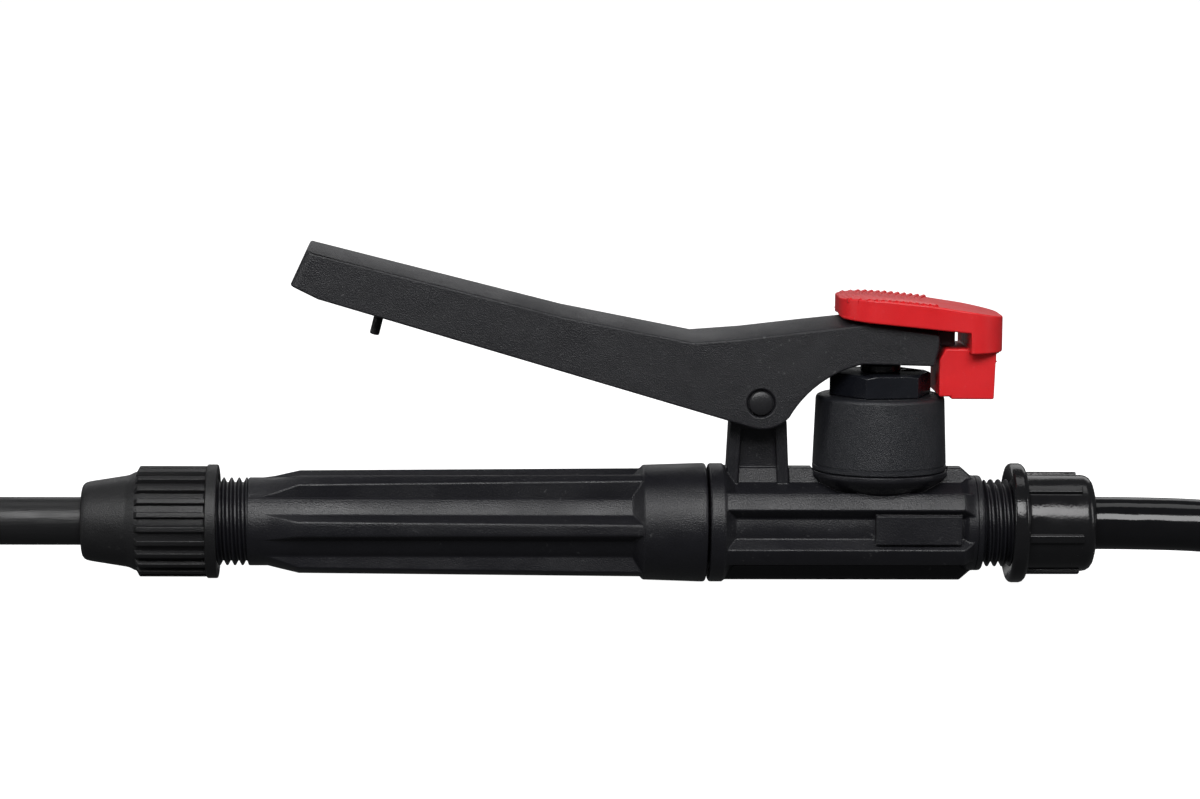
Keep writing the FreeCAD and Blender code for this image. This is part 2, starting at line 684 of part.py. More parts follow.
def hose_tail():
    """Barbed tail that the hose is pushed over, with the flange that the nut clamps."""
    x0 = tail_flange_x
    x1 = x0 + tail_flange_length
    end = x1 + tail_length
    outline = [(x0, tail_bore_r), (x0, tail_flange_r), (x1, tail_flange_r), (x1, bore_r - 0.3)]
    spacing = (tail_length - 3) / barb_count
    for number in range(barb_count):
        barb_x = x1 + 3 + number * spacing
        outline += [(barb_x, bore_r - 0.3), (barb_x, bore_r - 0.3 + barb_height), (barb_x + spacing * 0.7, bore_r - 0.3)]
    outline += [(end, bore_r - 0.3), (end, tail_bore_r)]
    return turned(outline)


def tail_washer():
    """Flat rubber washer between the thread's end and the tail's flange."""
    return rod(rear_thread_end + 0.02, tail_flange_x - 0.02, tail_flange_r, bore_r)


def tail_room():
    """Bore of the hose along the tail that is pushed into it."""
    return rod(tail_flange_x, tail_flange_x + tail_flange_length + tail_length + 1.0, bore_r)


def hose_lead():
    """Free stretch of hose from the tail's flange down to the hank."""
    return hose_tube(lead_route, hose_r).cut(tail_room())


def hose_end():
    """Free stretch of hose from the hank into the tank coupling."""
    return hose_tube(end_route, hose_r).cut(at_coupling(tail_room()))


def stadium(radius, low, high):
    """Upright block with two straight sides and two half-round ends."""
    right_x = hank_left_x + hank_run
    middle = block(hank_left_x, right_x, hank_y - radius, hank_y + radius, low, high)
    ends = []
    for x in (hank_left_x, right_x):
        ends.append(Part.makeCylinder(radius, high - low, Vector(x, hank_y, low)))
    return fused(middle, ends)


def hose_hank():
    """Outer shape of the hank's stacked loops."""
    low = hank_low_z - hose_r
    high = low + 2 * hose_r * hank_levels
    return stadium(hank_bend_r + hose_r, low, high).cut(stadium(hank_bend_r - hose_r, low, high))


def hank_ties():
    """Two straps, one round each side of the hank."""
    low = hank_low_z - hose_r
    high = low + 2 * hose_r * hank_levels
    gap = 0.05
    straps = []
    for side_y, x in ((hank_y - hank_bend_r, hank_left_x + near_tie_share * hank_run),
                      (hank_y + hank_bend_r, hank_left_x + far_tie_share * hank_run)):
        near = side_y - hose_r - gap
        far = side_y + hose_r + gap
        t = tie_thickness - gap
        outer = block(x, x + tie_width, near - t, far + t, low - gap - t, high + gap + t)
        straps.append(outer.cut(block(x, x + tie_width, near, far, low - gap, high + gap)))
    return Part.makeCompound(straps)


# ---------------------------------------------------------------- lance
def lance_nut():
    """Ribbed nut that squeezes the seal round the lance."""
    mouth = lance_nut_mouth_x
    end = lance_nut_end_x
    rib_left = mouth - lance_nut_rib_length - lance_nut_flange_length
    outline = [(end, 0), (end, lance_nut_nose_r - 1.1), (end + 0.5, lance_nut_nose_r - 0.3),
               (end + 1.5, lance_nut_nose_r), (end + 11.0, lance_nut_cone_r), (rib_left - 1.6, lance_nut_cone_r + 0.6),
               (rib_left, lance_nut_root_r), (mouth - lance_nut_flange_length, lance_nut_root_r),
               (mouth - lance_nut_flange_length + 0.3, lance_nut_flange_r), (mouth - 0.4, lance_nut_flange_r),
               (mouth, lance_nut_flange_r - 0.4), (mouth, 0)]
    nut = turned(outline)
    ribs = lands(rib_left - 1.4, mouth - 2.6, lance_nut_root_r, lance_nut_rib_r, 2.3, 1.5, lance_nut_rib_count, 7.5)
    limit = turned([(rib_left - 1.4, 0), (rib_left - 1.4, lance_nut_root_r - 0.2), (rib_left, lance_nut_rib_r),
                    (mouth - 2.6, lance_nut_rib_r), (mouth - 2.6, 0)])
    nut = fused(nut, [rib.common(limit) for rib in ribs])
    shoulder = grip_end_x - lance_seal_length - ferrule_length - face_gap
    cone = turned([(shoulder - 4, 0), (shoulder - 4, lance_r + loose_gap), (shoulder, ferrule_r - 1.0), (shoulder, 0)])
    hollow = [rod(grip_end_x, mouth, nut_bore_r), rod(shoulder, grip_end_x, ferrule_r + loose_gap), cone,
              rod(end, mouth, lance_r + loose_gap)]
    return nut.cut(hollow)


def lance_seal():
    """Rubber ring against the end of the grip's thread."""
    return rod(grip_end_x - lance_seal_length, grip_end_x - 0.02, ferrule_r, lance_r)


def lance_ferrule():
    """Collar fixed on the lance, which the nut pulls against the seal."""
    right = grip_end_x - lance_seal_length
    return rod(right - ferrule_length, right, ferrule_r, lance_r)


def lance_tube():
    """Straight lance."""
    return rod(lance_end_x, lance_start_x, lance_r, lance_r - lance_wall)


# ---------------------------------------------------------------- nozzle
def nozzle_body():
    """Sleeve fixed on the lance's end, with a thread for the adjustable cap."""
    sleeve_right = lance_end_x + nozzle_sleeve_length
    thread_r = nozzle_cap_r - nozzle_cap_wall - 0.9
    outline = [(lance_end_x - nozzle_thread_length, 0)]
    outline += thread_points(lance_end_x - nozzle_thread_length, lance_end_x - 2.0, thread_r, thread_pitch)
    outline += [(lance_end_x - 2.0, nozzle_body_r - 0.3), (lance_end_x - 1.7, nozzle_body_r),
                (sleeve_right - 2.5, nozzle_body_r), (sleeve_right, nozzle_body_r - 1.4), (sleeve_right, 0)]
    body = turned(outline)
    waist = lance_end_x
    return body.cut([rod(waist, sleeve_right, lance_r), rod(waist - nozzle_thread_length, waist, 2.6),
                     rod(waist - nozzle_thread_length, waist - nozzle_thread_length + 5.0, 3.8)])


def nozzle_core():
    """Swirl core: a pin with slanted grooves that seats in the cap."""
    left = lance_end_x - nozzle_thread_length - 1.6
    core = turned([(left, 0), (left, 1.0), (left + 1.6, 3.7), (left + 6.5, 3.7), (left + 6.5, 0)])
    groove = block(left - 1, left + 8, -0.4, 0.4, 2.7, 4.5)
    grooves = []
    for number in range(3):
        cut = groove.copy()
        cut.rotate(Vector(0, 0, 0), Vector(1, 0, 0), 120 * number)
        grooves.append(cut)
    return core.cut(grooves)


def nozzle_seal():
    """Ring seal under the cap's skirt."""
    return rod(lance_end_x - 1.6, lance_end_x + 0.6, nozzle_body_r + 0.9, nozzle_body_r)


def nozzle_cap():
    """Ribbed cap with the spray orifice; turning it sets the cone."""
    tip = nozzle_tip_x
    mouth = tip + nozzle_cap_length
    outline = [(tip, 0), (tip, 4.6), (tip + 0.5, 5.1), (tip + 3.0, 6.0), (tip + 4.0, nozzle_cap_r - 1.0),
               (tip + 4.7, nozzle_cap_r - 0.5), (mouth - 0.4, nozzle_cap_r - 0.5), (mouth, nozzle_cap_r - 0.9), (mouth, 0)]
    cap = turned(outline)
    ribs = lands(tip + 4.4, mouth - 1.5, nozzle_cap_r - 0.5, nozzle_cap_r, 1.7, 1.1, nozzle_cap_rib_count, 0)
    limit = rod(tip + 4.4, mouth - 1.5, nozzle_cap_r)
    cap = fused(cap, [rib.common(limit) for rib in ribs])
    thread_room = nozzle_cap_r - nozzle_cap_wall - 0.9 + thread_gap
    left = lance_end_x - nozzle_thread_length
    cone = turned([(tip + 0.9, 0), (tip + 0.9, orifice_r), (left - 1.6, 1.5), (left - 0.2, 4.2),
                   (left - 0.2, 0)])
    hollow = [rod(tip, mouth, orifice_r), cone, rod(left - 0.2, mouth, thread_room),
              rod(lance_end_x - 2.4, mouth, nozzle_body_r + 0.9 + loose_gap)]
    return cap.cut(hollow)


# ---------------------------------------------------------------- output
def at_coupling(shape):
    """Copy of a hose-end piece moved to the tank coupling."""
    shape.translate(coupling_shift)
    return shape


def main():
    """Build every piece, set the origin and write one file for each."""
    pieces = {
        "lance_tube": lance_tube(), "lance_nut": lance_nut(), "lance_ferrule": lance_ferrule(),
        "lance_seal": lance_seal(), "nozzle_body": nozzle_body(), "nozzle_core": nozzle_core(),
        "nozzle_seal": nozzle_seal(), "nozzle_cap": nozzle_cap(), "grip_barrel": grip_barrel(),
        "strainer_cage": strainer_cage(), "strainer_screen": strainer_screen(), "barrel_seal": barrel_seal(),
        "valve_body": valve_body(), "bonnet": bonnet(), "gland_nut": gland_nut(), "stem_seal": stem_seal(),
        "valve_stem": valve_stem(), "valve_washer": valve_washer(), "return_spring": return_spring(),
        "lever": lever(), "pivot_pin": pivot_pin(), "lock_slider": lock_slider(),
        "hose_nut": union_nut(nut_bore_r), "hose_tail": hose_tail(), "hose_washer": tail_washer(),
        "hose_lead": hose_lead(), "hose_hank": hose_hank(), "hank_ties": hank_ties(), "hose_end": hose_end(),
        "tank_tail": at_coupling(hose_tail()), "tank_nut": at_coupling(union_nut(thread_minor_r)),
        "tank_washer": at_coupling(tail_washer()),
    }
    os.makedirs("parts", exist_ok=True)
    for name, shape in pieces.items():
        shape.translate(Vector(-object_centre_x, 0, -floor_z))
        shape.exportStep("parts/" + name + ".step")
        box = shape.BoundBox
        print("%-16s %d solid, valid %s, volume %8.0f, x %.1f..%.1f y %.1f..%.1f z %.1f..%.1f"
              % (name, len(shape.Solids), shape.isValid(), shape.Volume,
                 box.XMin, box.XMax, box.YMin, box.YMax, box.ZMin, box.ZMax))


main()
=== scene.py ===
"""Studio scene of a sprayer's trigger valve, lance and supply hose, in metres.

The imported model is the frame. Pieces that show are modelled over it, and every
piece gets a procedural finish. Sizes in the classes are millimetres: X from the
axis of the valve stem, Y from the middle plane, Z from the axis of the barrel.
"""

import json
import logging
import math
from dataclasses import dataclass
from enum import Enum
from typing import Callable, Iterable, Sequence

import bpy
from mathutils import Matrix, Vector

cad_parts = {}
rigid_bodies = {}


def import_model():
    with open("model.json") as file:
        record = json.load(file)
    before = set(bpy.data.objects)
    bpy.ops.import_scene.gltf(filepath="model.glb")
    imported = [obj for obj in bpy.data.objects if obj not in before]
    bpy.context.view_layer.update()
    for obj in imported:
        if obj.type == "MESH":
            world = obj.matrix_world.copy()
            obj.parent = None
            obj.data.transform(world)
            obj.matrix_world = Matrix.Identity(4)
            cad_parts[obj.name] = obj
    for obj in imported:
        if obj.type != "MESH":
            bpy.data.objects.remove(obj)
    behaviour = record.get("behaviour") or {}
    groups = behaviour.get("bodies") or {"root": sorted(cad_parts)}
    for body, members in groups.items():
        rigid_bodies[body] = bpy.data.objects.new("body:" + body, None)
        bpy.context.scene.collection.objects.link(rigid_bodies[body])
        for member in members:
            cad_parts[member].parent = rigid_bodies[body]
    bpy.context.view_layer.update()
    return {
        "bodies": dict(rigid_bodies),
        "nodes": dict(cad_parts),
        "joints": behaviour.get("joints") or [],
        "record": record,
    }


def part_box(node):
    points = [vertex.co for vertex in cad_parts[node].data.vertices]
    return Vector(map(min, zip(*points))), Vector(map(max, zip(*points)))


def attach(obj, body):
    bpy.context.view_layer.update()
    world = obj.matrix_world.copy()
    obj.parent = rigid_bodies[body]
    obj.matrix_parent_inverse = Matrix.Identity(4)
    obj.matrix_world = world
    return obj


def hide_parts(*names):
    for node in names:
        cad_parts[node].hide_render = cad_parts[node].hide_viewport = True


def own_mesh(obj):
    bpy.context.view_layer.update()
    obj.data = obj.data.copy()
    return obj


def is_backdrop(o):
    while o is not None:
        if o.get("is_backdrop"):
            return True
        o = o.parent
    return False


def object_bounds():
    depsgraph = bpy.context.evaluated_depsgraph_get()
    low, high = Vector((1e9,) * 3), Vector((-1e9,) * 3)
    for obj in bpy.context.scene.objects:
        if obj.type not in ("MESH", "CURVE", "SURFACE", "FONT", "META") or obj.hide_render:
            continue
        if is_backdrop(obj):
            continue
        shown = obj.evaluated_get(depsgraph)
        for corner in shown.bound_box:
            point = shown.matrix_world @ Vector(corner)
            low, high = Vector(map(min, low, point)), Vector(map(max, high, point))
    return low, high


LOG = logging.getLogger("sprayer")
Point = tuple[float, float, float]
MM = 0.001
WELD = 0.002 * MM              # corners closer than this are one corner
SLIVER = 0.001 * MM            # edges shorter than this are dissolved
COPY_WELD = 0.003 * MM         # the same two for copies of the frame's nodes
COPY_SLIVER = 0.002 * MM
COPY_FLAT = math.radians(0.4)  # faces that turn by less are one face
THREAD_DEPTH = 0.62            # from crest to root, as a share of the pitch
THREAD_SINK = 0.25             # how far the ridge reaches into its sleeve, in millimetres


class Axis(Enum):
    """An axis of the frame, with its heading."""

    X = (1, 0, 0)
    Y = (0, 1, 0)
    Z = (0, 0, 1)


# ------------------------------------------------------------------ the bench
class Bench:
    """Places millimetre sizes in the frame, and holds the edit-mode tools that the pieces share."""

    def __init__(self) -> None:
        """Reads the stem's axis and the barrel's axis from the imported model."""
        stem_low, stem_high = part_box("valve_stem")
        lance_low, lance_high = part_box("lance_tube")
        self.origin = Vector(((stem_low[0] + stem_high[0]) / 2, 0.0, (lance_low[2] + lance_high[2]) / 2))

    def at(self, x: float, y: float, z: float) -> Vector:
        """Gives the frame's point for a place in millimetres."""
        return self.origin + Vector((x, y, z)) * MM

    @staticmethod
    def only(piece: bpy.types.Object) -> None:
        """Leaves one piece selected and active, in object mode.

        Args:
            piece: the piece.
        """
        if bpy.context.mode != "OBJECT":
            bpy.ops.object.mode_set(mode="OBJECT")
        bpy.ops.object.select_all(action="DESELECT")
        piece.select_set(True)
        bpy.context.view_layer.objects.active = piece

    def edit(self, piece: bpy.types.Object, kind: str = "VERT") -> None:
        """Opens a piece in edit mode with nothing selected.

        Args:
            piece: the piece to open.
            kind: what is selected there, VERT, EDGE or FACE.
        """
        self.only(piece)
        bpy.ops.object.mode_set(mode="EDIT")
        bpy.ops.mesh.select_mode(type=kind)
        bpy.ops.mesh.select_all(action="DESELECT")

    @staticmethod
    def close() -> None:
        """Goes back to object mode."""
        bpy.ops.object.mode_set(mode="OBJECT")

    @staticmethod
    def everything() -> None:
        """Selects all of the piece in edit mode."""
        bpy.ops.mesh.select_all(action="SELECT")

    def narrow_top(self, piece: bpy.types.Object, share: float, lean: float = 0.0) -> None:
        """Narrows the upper face of a brick across Y and moves it along X.

        Args:
            piece: the brick.
            share: how much of the width is left.
            lean: how far it moves, in millimetres.
        """
        self.edit(piece, "FACE")
        bpy.ops.object.mode_set(mode="OBJECT")
        for face in piece.data.polygons:
            face.select = face.normal.z > 0.9
        bpy.ops.object.mode_set(mode="EDIT")
        bpy.ops.transform.resize(value=(1, share, 1))
        if lean:
            bpy.ops.transform.translate(value=(lean * MM, 0, 0))
        self.close()

    def pick_edges(self, piece: bpy.types.Object, wanted: Callable[[Vector, Vector], bool]) -> int:
        """Selects edges by their two ends, in millimetres.

        Args:
            piece: a piece in edit mode, in edge mode.
            wanted: says for the two ends whether the edge is meant.

        Returns:
            How many edges are selected.
        """
        bpy.ops.object.mode_set(mode="OBJECT")
        places = [(vertex.co - self.origin) / MM for vertex in piece.data.vertices]
        count = 0
        for edge in piece.data.edges:
            edge.select = wanted(places[edge.vertices[0]], places[edge.vertices[1]])
            count += edge.select
        bpy.ops.object.mode_set(mode="EDIT")
        return count

    def line(self, name: str, points: Sequence[Point]) -> bpy.types.Object:
        """Draws a chain of edges by extruding one corner from point to point.

        Args:
            name: the new piece's name.
            points: its corners in millimetres.

        Returns:
            The piece, left in edit mode with its last corner selected.
        """
        bpy.ops.object.select_all(action="DESELECT")
        bpy.ops.mesh.primitive_plane_add(size=MM, location=(0, 0, 0))
        piece = bpy.context.active_object
        piece.name = name
        bpy.ops.object.mode_set(mode="EDIT")
        bpy.ops.mesh.select_mode(type="VERT")
        self.everything()
        bpy.ops.mesh.merge(type="CENTER")
        here = self.at(*points[0])
        bpy.ops.transform.translate(value=here)
        for point in points[1:]:
            there = self.at(*point)
            bpy.ops.mesh.extrude_region_move(TRANSFORM_OT_translate={"value": there - here})
            here = there
        return piece

    def spun(self, name: str, outline: Sequence[tuple[float, float]], steps: int = 96,
             axis: Axis = Axis.X, centre: Point = (0, 0, 0)) -> bpy.types.Object:
        """Turns an outline into a round piece.

        Args:
            name: the new piece's name.
            outline: places along the axis and radii, in millimetres; a tube's outline ends where it begins.
            steps: faces round the piece.
            axis: the axis that the outline turns about.
            centre: a point of the axis, in millimetres.

        Returns:
            The closed piece, with its faces pointing outwards.
        """
        outward = Axis.X.value if axis is Axis.Z else Axis.Z.value
        points = [tuple(c + along * a + r * o for c, a, o in zip(centre, axis.value, outward))
                  for along, r in outline]
        piece = self.line(name, points)
        self.everything()
        bpy.ops.mesh.spin(steps=steps, angle=math.tau, center=self.at(*centre), axis=axis.value)
        self.tidy(piece)
        return piece

    def tidy(self, piece: bpy.types.Object) -> None:
        """Merges a piece's doubles and points its faces outwards.

        Args:
            piece: the piece.
        """
        if bpy.context.mode != "EDIT_MESH":
            self.edit(piece)
        self.everything()
        bpy.ops.mesh.remove_doubles(threshold=WELD)
        bpy.ops.mesh.dissolve_degenerate(threshold=SLIVER)
        bpy.ops.mesh.normals_make_consistent(inside=False)
        self.close()

    def modify(self, piece: bpy.types.Object, kind: str, **settings: object) -> None:
        """Adds one modifier, sets it and applies it.

        Args:
            piece: the piece.
            kind: the modifier's type.
            settings: its values by name.
        """
        self.only(piece)
        modifier = piece.modifiers.new(kind.title(), kind)
        for key, value in settings.items():
            setattr(modifier, key, value)
        bpy.ops.object.modifier_apply(modifier=modifier.name)

    def round_edges(self, piece: bpy.types.Object, width: float, over: float = 30.0, segments: int = 3) -> None:
        """Rounds the edges that turn by more than an angle.

        Args:
            piece: the piece.
            width: how far the rounding reaches along each face, in millimetres.
            over: the least angle, in degrees.
            segments: faces across the rounding.
        """
        self.modify(piece, "BEVEL", width=width * MM, segments=segments, limit_method="ANGLE",
                    angle_limit=math.radians(over), use_clamp_overlap=False, loop_slide=False)

    def soften(self, piece: bpy.types.Object, degrees: float = 32.0) -> bpy.types.Object:
        """Shades a piece smooth except over its sharp edges.

        Args:
            piece: the piece.
            degrees: from what turn on an edge is sharp.

        Returns:
            The piece.
        """
        self.only(piece)
        bpy.ops.object.shade_smooth_by_angle(angle=math.radians(degrees))
        self.modify(piece, "WEIGHTED_NORMAL", keep_sharp=True, weight=60)
        return piece

    def join(self, name: str, pieces: Sequence[bpy.types.Object]) -> bpy.types.Object:
        """Joins pieces into the first one.

        Args:
            name: the name of the whole.
            pieces: one piece or more.

        Returns:
            The whole.
        """
        self.only(pieces[0])
        for piece in pieces:
            piece.select_set(True)
        if len(pieces) > 1:
            bpy.ops.object.join()
        pieces[0].name = name
        pieces[0].data.name = name
        return pieces[0]

    def ring_of(self, piece: bpy.types.Object, count: int) -> list[bpy.types.Object]:
        """Copies a piece evenly round the barrel's axis, each copy with its own mesh.

        Args:
            piece: the first one, which is kept.
            count: how many there are in all.

        Returns:
            All of them.
        """
        copies = [piece]
        for number in range(1, count):
            self.only(piece)
            bpy.ops.object.duplicate(linked=False)
            copy = bpy.context.active_object
            self.turn(copy, number * 360.0 / count)
            copies.append(copy)
        return copies

    def turn(self, piece: bpy.types.Object, degrees: float) -> None:
        """Turns a piece's mesh about the barrel's axis.

        Args:
            piece: the piece.
            degrees: how far, right-handed.
        """
        self.edit(piece)
        self.everything()
        bpy.ops.transform.rotate(value=-math.radians(degrees), orient_axis="X", orient_type="GLOBAL",
                                 center_override=self.at(0, 0, 0))
        self.close()

    def brick(self, name: str, low: Point, high: Point) -> bpy.types.Object:
        """Adds a cube primitive, its size and place kept in its mesh.

        Args:
            name: the new piece's name.
            low: its lowest corner in millimetres.
            high: its highest corner.

        Returns:
            The brick.
        """
        bpy.ops.object.select_all(action="DESELECT")
        bpy.ops.mesh.primitive_cube_add(size=1.0, location=(0, 0, 0))
        piece = bpy.context.active_object
        piece.name = name
        sizes = [b - a for a, b in zip(low, high)]
        middle = [(a + b) / 2 for a, b in zip(low, high)]
        bpy.ops.object.mode_set(mode="EDIT")
        self.everything()
        bpy.ops.transform.resize(value=[size * MM for size in sizes], center_override=(0, 0, 0))
        bpy.ops.transform.translate(value=self.at(*middle))
        self.close()
        return piece

    def copied(self, frame: dict, node: str, name: str) -> bpy.types.Object:
        """Copies a node of the frame as clean faces, ready for edge rounding.

        Args:
            frame: the loaded frame.
            node: the node's name.
            name: the copy's name.

        Returns:
            The copy, merged, with its flat faces whole.
        """
        source = frame["nodes"][node]
        mesh = source.data.copy()
        piece = bpy.data.objects.new(name, mesh)
        bpy.context.scene.collection.objects.link(piece)
        piece.matrix_world = source.matrix_world.copy()
        self.only(piece)
        bpy.ops.object.transform_apply(location=True, rotation=True, scale=True)
        if mesh.has_custom_normals:
            bpy.ops.mesh.customdata_custom_splitnormals_clear()
        for layer in list(mesh.uv_layers):
            mesh.uv_layers.remove(layer)
        mesh.materials.clear()
        self.edit(piece)
        self.everything()
        bpy.ops.mesh.remove_doubles(threshold=COPY_WELD)
        bpy.ops.mesh.dissolve_degenerate(threshold=COPY_SLIVER)
        bpy.ops.mesh.mark_sharp(clear=True)
        bpy.ops.mesh.dissolve_limited(angle_limit=COPY_FLAT)
        self.close()
        return piece

    def thread(self, name: str, start: float, end: float, crest: float, pitch: float, bore: float,
               overlap: float = 0.5) -> bpy.types.Object:
        """Models a right-handed male thread along the barrel: a sleeve and one long screwed ridge.

        Args:
            name: the new piece's name.
            start: left end on X.
            end: right end on X.
            crest: radius over the crests.
            pitch: from crest to crest.
            bore: radius of the hole through it.
            overlap: how far the sleeve runs on past the ridge.

        Returns:
            The threaded piece, in two closed shells.
        """
        root = crest - THREAD_DEPTH * pitch
        flank = ((0.04, root - THREAD_SINK), (0.10, root), (0.40, crest - 0.06), (0.46, crest))
        left = [(start + share * pitch, 0, r) for share, r in flank]
        right = [(start + (1 - share) * pitch, 0, r) for share, r in reversed(flank)]
        ridge = self.line(name, left + right)
        self.everything()
        bpy.ops.mesh.edge_face_add()
        bpy.ops.mesh.delete(type="ONLY_FACE")
        self.close()
        self.only(ridge)
        bpy.context.scene.cursor.location = self.origin
        bpy.ops.object.origin_set(type="ORIGIN_CURSOR")
        turns = int((end - start) / pitch) - 1
        self.modify(ridge, "SCREW", axis="X", screw_offset=pitch * MM, iterations=turns, steps=64,
                    render_steps=64, use_merge_vertices=False)
        bpy.ops.object.transform_apply(location=True, rotation=True, scale=True)
        self.edit(ridge)
        self.everything()
        bpy.ops.mesh.fill_holes(sides=0)
        self.tidy(ridge)
        left_end, right_end = start - overlap, end + overlap
        sleeve = self.spun(name + "_sleeve", [(left_end, bore), (left_end, root), (right_end, root),
                                              (right_end, bore), (left_end, bore)])
        return self.join(name, [ridge, sleeve])

    def cut_off(self, piece: bpy.types.Object, x: float, keep_left: bool) -> None:
        """Saws a tubular piece square across the barrel and closes the cut between its two rings.

        Args:
            piece: the piece.
            x: where, in millimetres.
            keep_left: whether the left part stays.
        """
        self.edit(piece)
        self.everything()
        bpy.ops.mesh.bisect(plane_co=self.at(x, 0, 0), plane_no=(1, 0, 0), use_fill=False,
                            clear_inner=not keep_left, clear_outer=keep_left)
        bpy.ops.mesh.select_mode(type="EDGE")
        bpy.ops.mesh.select_all(action="DESELECT")
        self.pick_edges(piece, lambda a, b: abs(a.x - x) < 0.01 and abs(b.x - x) < 0.01)
        bpy.ops.mesh.bridge_edge_loops()
        self.close()


# ------------------------------------------------------------------ finishes
class Surface(Enum):
    """How a finish's skin is worked."""

    MOULDED = "moulded"
    EXTRUDED = "extruded"
    WOVEN = "woven"
    DRAWN = "drawn"


CLOUD_SCALE = 55.0             # spots to a metre, about: patches of gloss
BLOTCH_SCALE = 260.0           # patches of colour
SPECK_SCALE = 900.0            # rubbed specks
HAIR_SCALE = 700.0             # hair scratches, drawn out along one line
WAVE_SCALE = 90.0              # the long unevenness of a moulding
HAIR_SHARE = 0.3               # how much a scratch shows beside a speck
WORN_ROUGHNESS = 0.35          # how much rougher a worn place is
WAVE_HEIGHT = 0.0012           # in metres
GRAIN_HEIGHT = 0.0004


class NodeDesk:
    """Adds the nodes of one material."""

    def __init__(self, material: bpy.types.Material) -> None:
        """Opens a material that uses nodes."""
        self.tree = material.node_tree

    def fill(self, node: bpy.types.Node, inputs: dict[str | int, object]) -> None:
        """Sets a node's inputs.

        Args:
            node: the node.
            inputs: by the input's name or number, its value or the socket that it is linked from.
        """
        for key, value in inputs.items():
            if isinstance(value, bpy.types.NodeSocket):
                self.tree.links.new(value, node.inputs[key])
            else:
                node.inputs[key].default_value = value

    def add(self, kind: str, inputs: dict[str | int, object], output: str, **options: str) -> object:
        """Adds a node.

        Args:
            kind: its type.
            inputs: what its inputs get, as fill takes it.
            output: the name of the output that is used.
            options: its settings by name.

        Returns:
            The output's socket.
        """
        node = self.tree.nodes.new(kind)
        for key, value in options.items():
            setattr(node, key, value)
        self.fill(node, inputs)
        return node.outputs[output]

    def noise(self, source: object, scale: float, detail: float) -> object:
        """Adds a noise texture.

        Args:
            source: its coordinates.
            scale: spots to a metre, about.
            detail: how many octaves it has.

        Returns:
            Its value.
        """
        return self.add("ShaderNodeTexNoise", {"Vector": source, "Scale": scale, "Detail": detail,
                                               "Roughness": 0.55}, "Fac")

    def window(self, source: object, low: float, high: float) -> object:
        """Spreads the values between two limits over 0 to 1.

        Args:
            source: the values.
            low: the limit that gives 0.
            high: the limit that gives 1.

        Returns:
            The spread values.
        """
        return self.add("ShaderNodeMapRange", {"Value": source, "From Min": low, "From Max": high}, "Result",
                        interpolation_type="SMOOTHSTEP")

    def calc(self, how: str, first: object, second: object) -> object:
        """Does a sum on two sockets or numbers.

        Args:
            how: the operation.
            first: its first value.
            second: its second value.

        Returns:
            The outcome.
        """
        return self.add("ShaderNodeMath", {0: first, 1: second}, "Value", operation=how)


